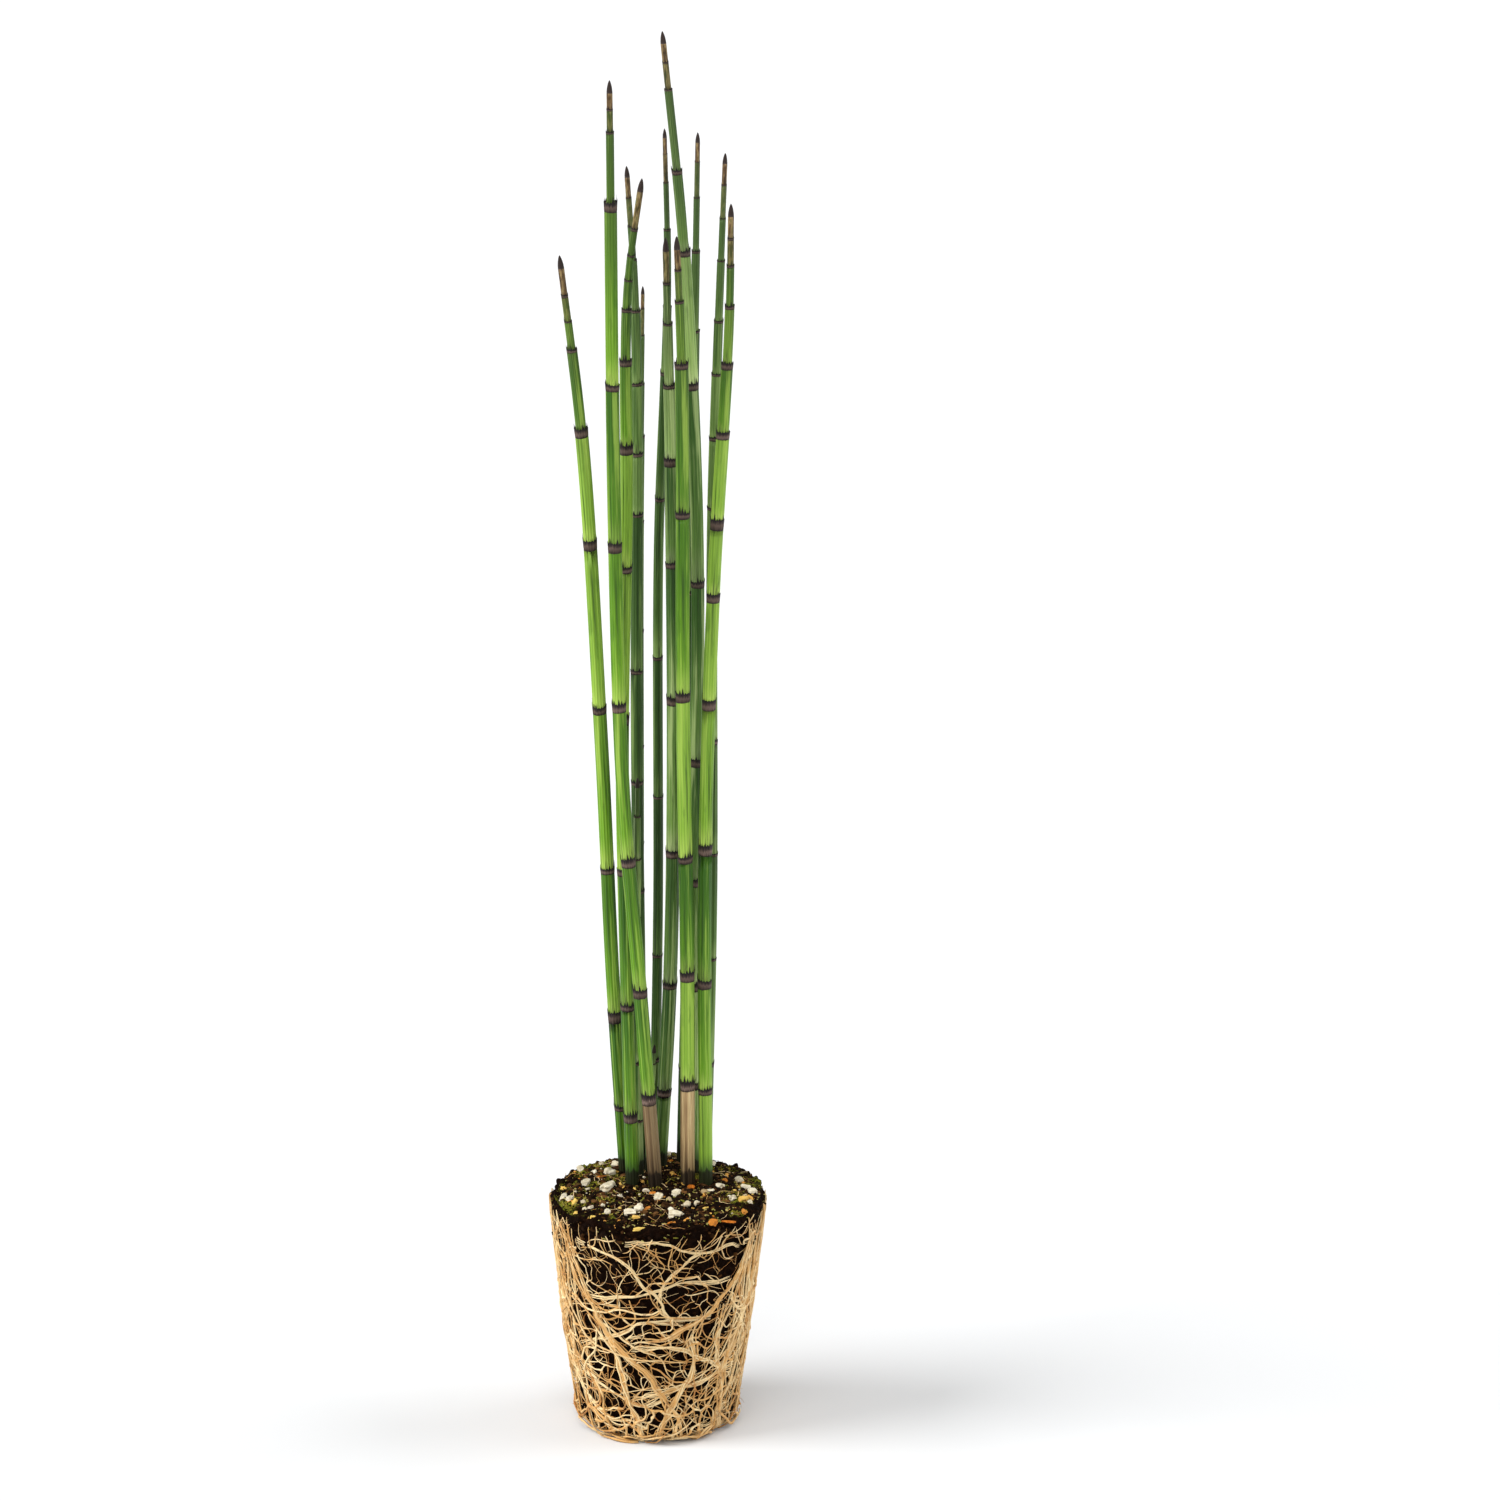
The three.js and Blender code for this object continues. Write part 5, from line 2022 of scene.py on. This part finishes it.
    def _knots(self, web: Web) -> Pair:
        """Knots of a web: a jittered grid, thinned at the bare top of the front and under the foot.

        Args:
            web: the web.

        Returns:
            Radians from +X and millimetres down, one of each for a knot.
        """
        columns = round(2 * math.pi * BALL.mean_radius / web.cell)
        rows = round((web.down[1] - web.down[0]) / web.cell)
        grid = np.stack(np.meshgrid(np.arange(columns), np.arange(rows)), axis=-1).reshape(-1, 2)
        grid = grid + self.random.uniform(-0.55, 0.55, grid.shape)
        angle = 2 * math.pi * grid[:, 0] / columns
        down = web.down[0] + web.cell * np.clip(grid[:, 1] + 0.5, 0, rows)
        point = BALL.points(angle, down)
        crowding = np.hypot(point[:, 0], point[:, 1]) / BALL.mean_radius
        bare = web.bare * self._frontness(angle) * smoothstep(-down, -56, -12)
        keep = self.random.uniform(0, 1, len(down)) < np.minimum(crowding**2.2, 1 - bare)
        edge = 3 + 10 * self._frontness(angle) * (1 + 1.6 * lattice_noise(point * [0.14, 0.14, 0.0], 21))
        keep &= down > edge
        return angle[keep], down[keep]

    def _links(self, angle: Array, down: Array, web: Web) -> Array:
        """Pairs of knots that a root joins.

        Two knots are joined if no third one is nearer to both than they are to each other; a share
        of the pairs whose ball (the one that has them as poles) holds no third knot is joined too.
        At the sides and behind, heights count less, so that the roots there run mostly downwards.

        Args:
            angle: the knots' radians from +X.
            down: the knots' millimetres down.
            web: the web.

        Returns:
            Pairs of knot numbers.
        """
        point = BALL.points(angle, down)
        squeeze = 0.6 + 0.4 * self._frontness(angle)
        step = point[:, None] - point[None]
        step[..., 2] *= 0.5 * (squeeze[:, None] + squeeze[None])
        gap = np.linalg.norm(step, axis=-1)
        pairs = []
        for here in range(len(angle)):
            near = np.nonzero((gap[here] < 2.8 * web.cell) & (gap[here] > 0))[0]
            mine, theirs = gap[here, near], gap[np.ix_(near, near)]
            nearer = (np.maximum(mine[None, :], theirs) < mine[:, None]).any(axis=1)
            inside = (mine[None, :] ** 2 + theirs**2 < mine[:, None] ** 2 - TINY).any(axis=1)
            extra = ~inside & (self.random.uniform(0, 1, len(near)) < web.extra_links)
            chosen = near[(~nearer | extra) & (near > here)]
            pairs.append(stacked(here, chosen))
        return np.concatenate(pairs)

    def _web(self, web: Web) -> Skin:
        """A web's roots: each bows a little between two knots and is thickest where it meets them.

        Args:
            web: the web.

        Returns:
            The roots' skin.
        """
        draw, mean = self.random, BALL.mean_radius
        angle, down = self._knots(web)
        first, last = self._links(angle, down, web).T
        t = np.linspace(0, 1, web.steps)[None]
        turn = ((angle[last] - angle[first] + math.pi) % (2 * math.pi) - math.pi)[:, None]
        fall = (down[last] - down[first])[:, None]
        bow = draw.normal(0, 0.2, (len(first), 1)) * np.sin(math.pi * t)
        angles = angle[first, None] + turn * t - bow * fall / mean
        downs = down[first, None] + fall * t + bow * turn * mean
        point = BALL.points(angles, downs)
        around, along = (
            1.4 * lattice_noise(point / 4.8, 71 + k) + 0.5 * lattice_noise(point / 2.1, 76 + k)
            for k in (0, 1)
        )
        angles = angles + around / mean
        downs = np.clip(downs + along, self.highest, self.lowest - 1)
        stout = np.clip(0.5 + 0.8 * lattice_noise(BALL.points(angle, down) / 14.0, 73), 0, 1)
        deep = 1 - 0.4 * self._frontness(angle) * smoothstep(-down, -62, -20)
        low, high = web.radius
        knot = (low + (high - low) * stout * draw.uniform(0.2, 1, len(down))) * deep
        radius = knot[first, None] * (1 - t) + knot[last, None] * t
        radius = radius * (1 - 0.32 * np.sin(math.pi * t)) * (1 + 0.15 * lattice_noise(point / 1.6, 4))
        layer = draw.uniform(*web.lift, len(down))
        lift = layer[first, None] * (1 - t) + layer[last, None] * t + radius
        centres, outward = self._placed(angles, downs, lift)
        tone = draw.uniform(*web.tone, len(first))
        return tubes_skin(Strands(centres, outward, radius, 0.85, tone), web.sides)

    def _branches(self, parents: list[Pair], growth: Growth) -> Skin:
        """Branches: each leaves a parent at a point, at a slant to its direction.

        Args:
            parents: lines as radians from +X and millimetres down, each (roots, steps).
            growth: the branches' family.

        Returns:
            The branches' skin.
        """
        starts = []
        for angle, down in parents:
            heading = np.arctan2(np.gradient(angle, axis=1) * BALL.mean_radius, np.gradient(down, axis=1))
            starts.append(stacked(angle, down, heading)[:, 2:-4].reshape(-1, 3))
        pool = np.vstack(starts)
        pool = pool[(pool[:, 1] > growth.down[0]) & (pool[:, 1] < growth.down[1])]
        draw, count = self.random, growth.count
        angle, down, heading = pool[draw.integers(0, len(pool), count)].T
        slant = np.radians(draw.uniform(*growth.heading, count)) * draw.choice([-1, 1], count)
        lines = self._walked(angle, down, heading + slant, growth)
        return tubes_skin(self._strands(*lines, growth), growth.sides)

    def _stray_ends(self) -> Skin:
        """Whiskers: short stray root ends that stand off the side and splay out round the foot.

        Returns:
            Their skin.
        """
        draw, column = self.random, (self.whiskers, 1)
        angle = draw.uniform(0, 2 * math.pi, column)
        low = draw.uniform(0, 1, column) < self.low_whiskers
        down = np.where(low, draw.uniform(96, 108, column), draw.uniform(3, 100, column))
        t = np.linspace(0, 1, self.whisker_steps)[None]
        length = draw.uniform(2.5, 7.5, column)
        swing = draw.normal(0, 0.9, column)
        fall = draw.normal(0.2, 0.6, column)
        stand = draw.uniform(0.12, 0.6, column) * np.where(low, 0.9, 0.55)
        curl = draw.normal(0, 0.8, column)
        angle = angle + (length * (swing * t + curl * t * t)) / 40.0
        down = np.clip(down + length * fall * t, 1, 109)
        centres, outward = self._placed(angle, down, 0.4 + length * stand * t**1.3)
        radius = draw.uniform(0.1, 0.24, column) * (1 - 0.65 * t)
        return tubes_skin(Strands(centres, outward, radius, 1.0, draw.uniform(0.1, 0.9, self.whiskers)), 4)

    def build(self) -> None:
        """Makes the roots as a few pieces, thick ones first, and dresses them."""
        lines = self.main_lines[0]
        self._build_piece("root_bundles", self._bundles())
        self._build_piece("root_web", [self._web(COARSE_WEB)])
        self._build_piece("root_fine_web", [self._web(FINE_WEB)])
        runner_lines = self._grown(RUNNERS)
        body = [tubes_skin(self._strands(*runner_lines, RUNNERS), RUNNERS.sides)]
        body += [self._family(family) for family in (LEFT_ROOTS, RIGHT_ROOTS, BACK_ROOTS, UNDER_ROOTS, LOOPS)]
        self._build_piece("root_runners", body)
        thin = [self._family(WISPS), self._family(HANGING)]
        thin.append(self._branches([runner_lines, (lines[..., 0], lines[..., 1])], TWIGS))
        self._build_piece("root_twigs", [*thin, self._stray_ends()])

    def _build_piece(self, name: str, skins: list[Skin]) -> None:
        """Makes one piece of the net and dresses it."""
        finished(Skin.joined(skins).make(name), root_material(), Slot.ROOTS, "root_net")


# ---------------- studio


@dataclass(frozen=True)
class Studio:
    """Pale floor, soft light and the camera, which looks at the plant from 18 degrees above."""

    distance: float = 3.0
    elevation: float = 18.0
    aim: tuple[float, float, float] = (0.0412, 0.0, 0.3198)
    lens: float = 162.5
    floor_size: float = 60.0
    lights: tuple[tuple[str, float, float, float, float], ...] = (
        ("left_light", 3.1, 36.0, 55.0, -80.0),
        ("right_light", 1.7, 44.0, 58.0, 98.0),
        ("front_light", 1.3, 60.0, 50.0, -14.0),
    )
    surround: float = 0.4

    def build(self) -> None:
        """Sets the studio up."""
        self._floor()
        for light in self.lights:
            self._sun(*light)
        self._surround()
        self._camera()
        bpy.context.scene.view_settings.view_transform = "Standard"

    def _floor(self) -> None:
        """The floor, a wide sheet under the plant."""
        half = 0.5 * self.floor_size / MM
        corners = np.array([[-half, -half, 0], [half, -half, 0], [half, half, 0], [-half, half, 0]])
        floor = Skin(corners, np.array([[0, 1, 2, 3]]), np.empty((0, 3), int)).make("studio_floor")
        floor.data.materials.append(FloorFinish().material())

    def _sun(self, name: str, strength: float, spread: float, tilt: float, around: float) -> None:
        """A far broad light.

        Args:
            name: its name.
            strength: its strength.
            spread: how broad it looks from the plant, in degrees.
            tilt: its angle from straight overhead, in degrees.
            around: where it stands round the plant, in degrees from the front towards +X.
        """
        lamp = bpy.data.lights.new(name, "SUN")
        lamp.energy = strength
        lamp.angle = math.radians(spread)
        placed = bpy.data.objects.new(name, lamp)
        placed.rotation_euler = (math.radians(tilt), 0.0, math.radians(around))
        bpy.context.scene.collection.objects.link(placed)

    def _surround(self) -> None:
        """White walls all round."""
        world = bpy.data.worlds.new("white studio")
        world.use_nodes = True
        back = next(n for n in world.node_tree.nodes if n.type == "BACKGROUND")
        back.inputs["Color"].default_value = (1.0, 1.0, 1.0, 1.0)
        back.inputs["Strength"].default_value = self.surround
        bpy.context.scene.world = world

    def _camera(self) -> None:
        """The camera, straight in front of the plant."""
        lens = bpy.data.cameras.new("camera")
        lens.lens = self.lens
        lens.sensor_width = 36.0
        lens.clip_end = 100.0
        camera = bpy.data.objects.new("camera", lens)
        tilt = math.radians(self.elevation)
        x, y, z = self.aim
        camera.location = (x, y - self.distance * math.cos(tilt), z + self.distance * math.sin(tilt))
        camera.rotation_euler = (math.pi / 2 - tilt, 0.0, 0.0)
        bpy.context.scene.collection.objects.link(camera)
        bpy.context.scene.camera = camera


# ---------------- the plant


def main() -> None:
    """Builds the plant's pieces in order and sets up the studio."""
    logging.basicConfig(level=logging.INFO, format="%(name)s: %(message)s")
    for stem in STEMS:
        stem.build()
    mix = PottingMix()
    mix.build()
    Litter(mix=mix).build()
    RootNet().build()
    Studio().build()


if __name__ == "__main__":
    main()
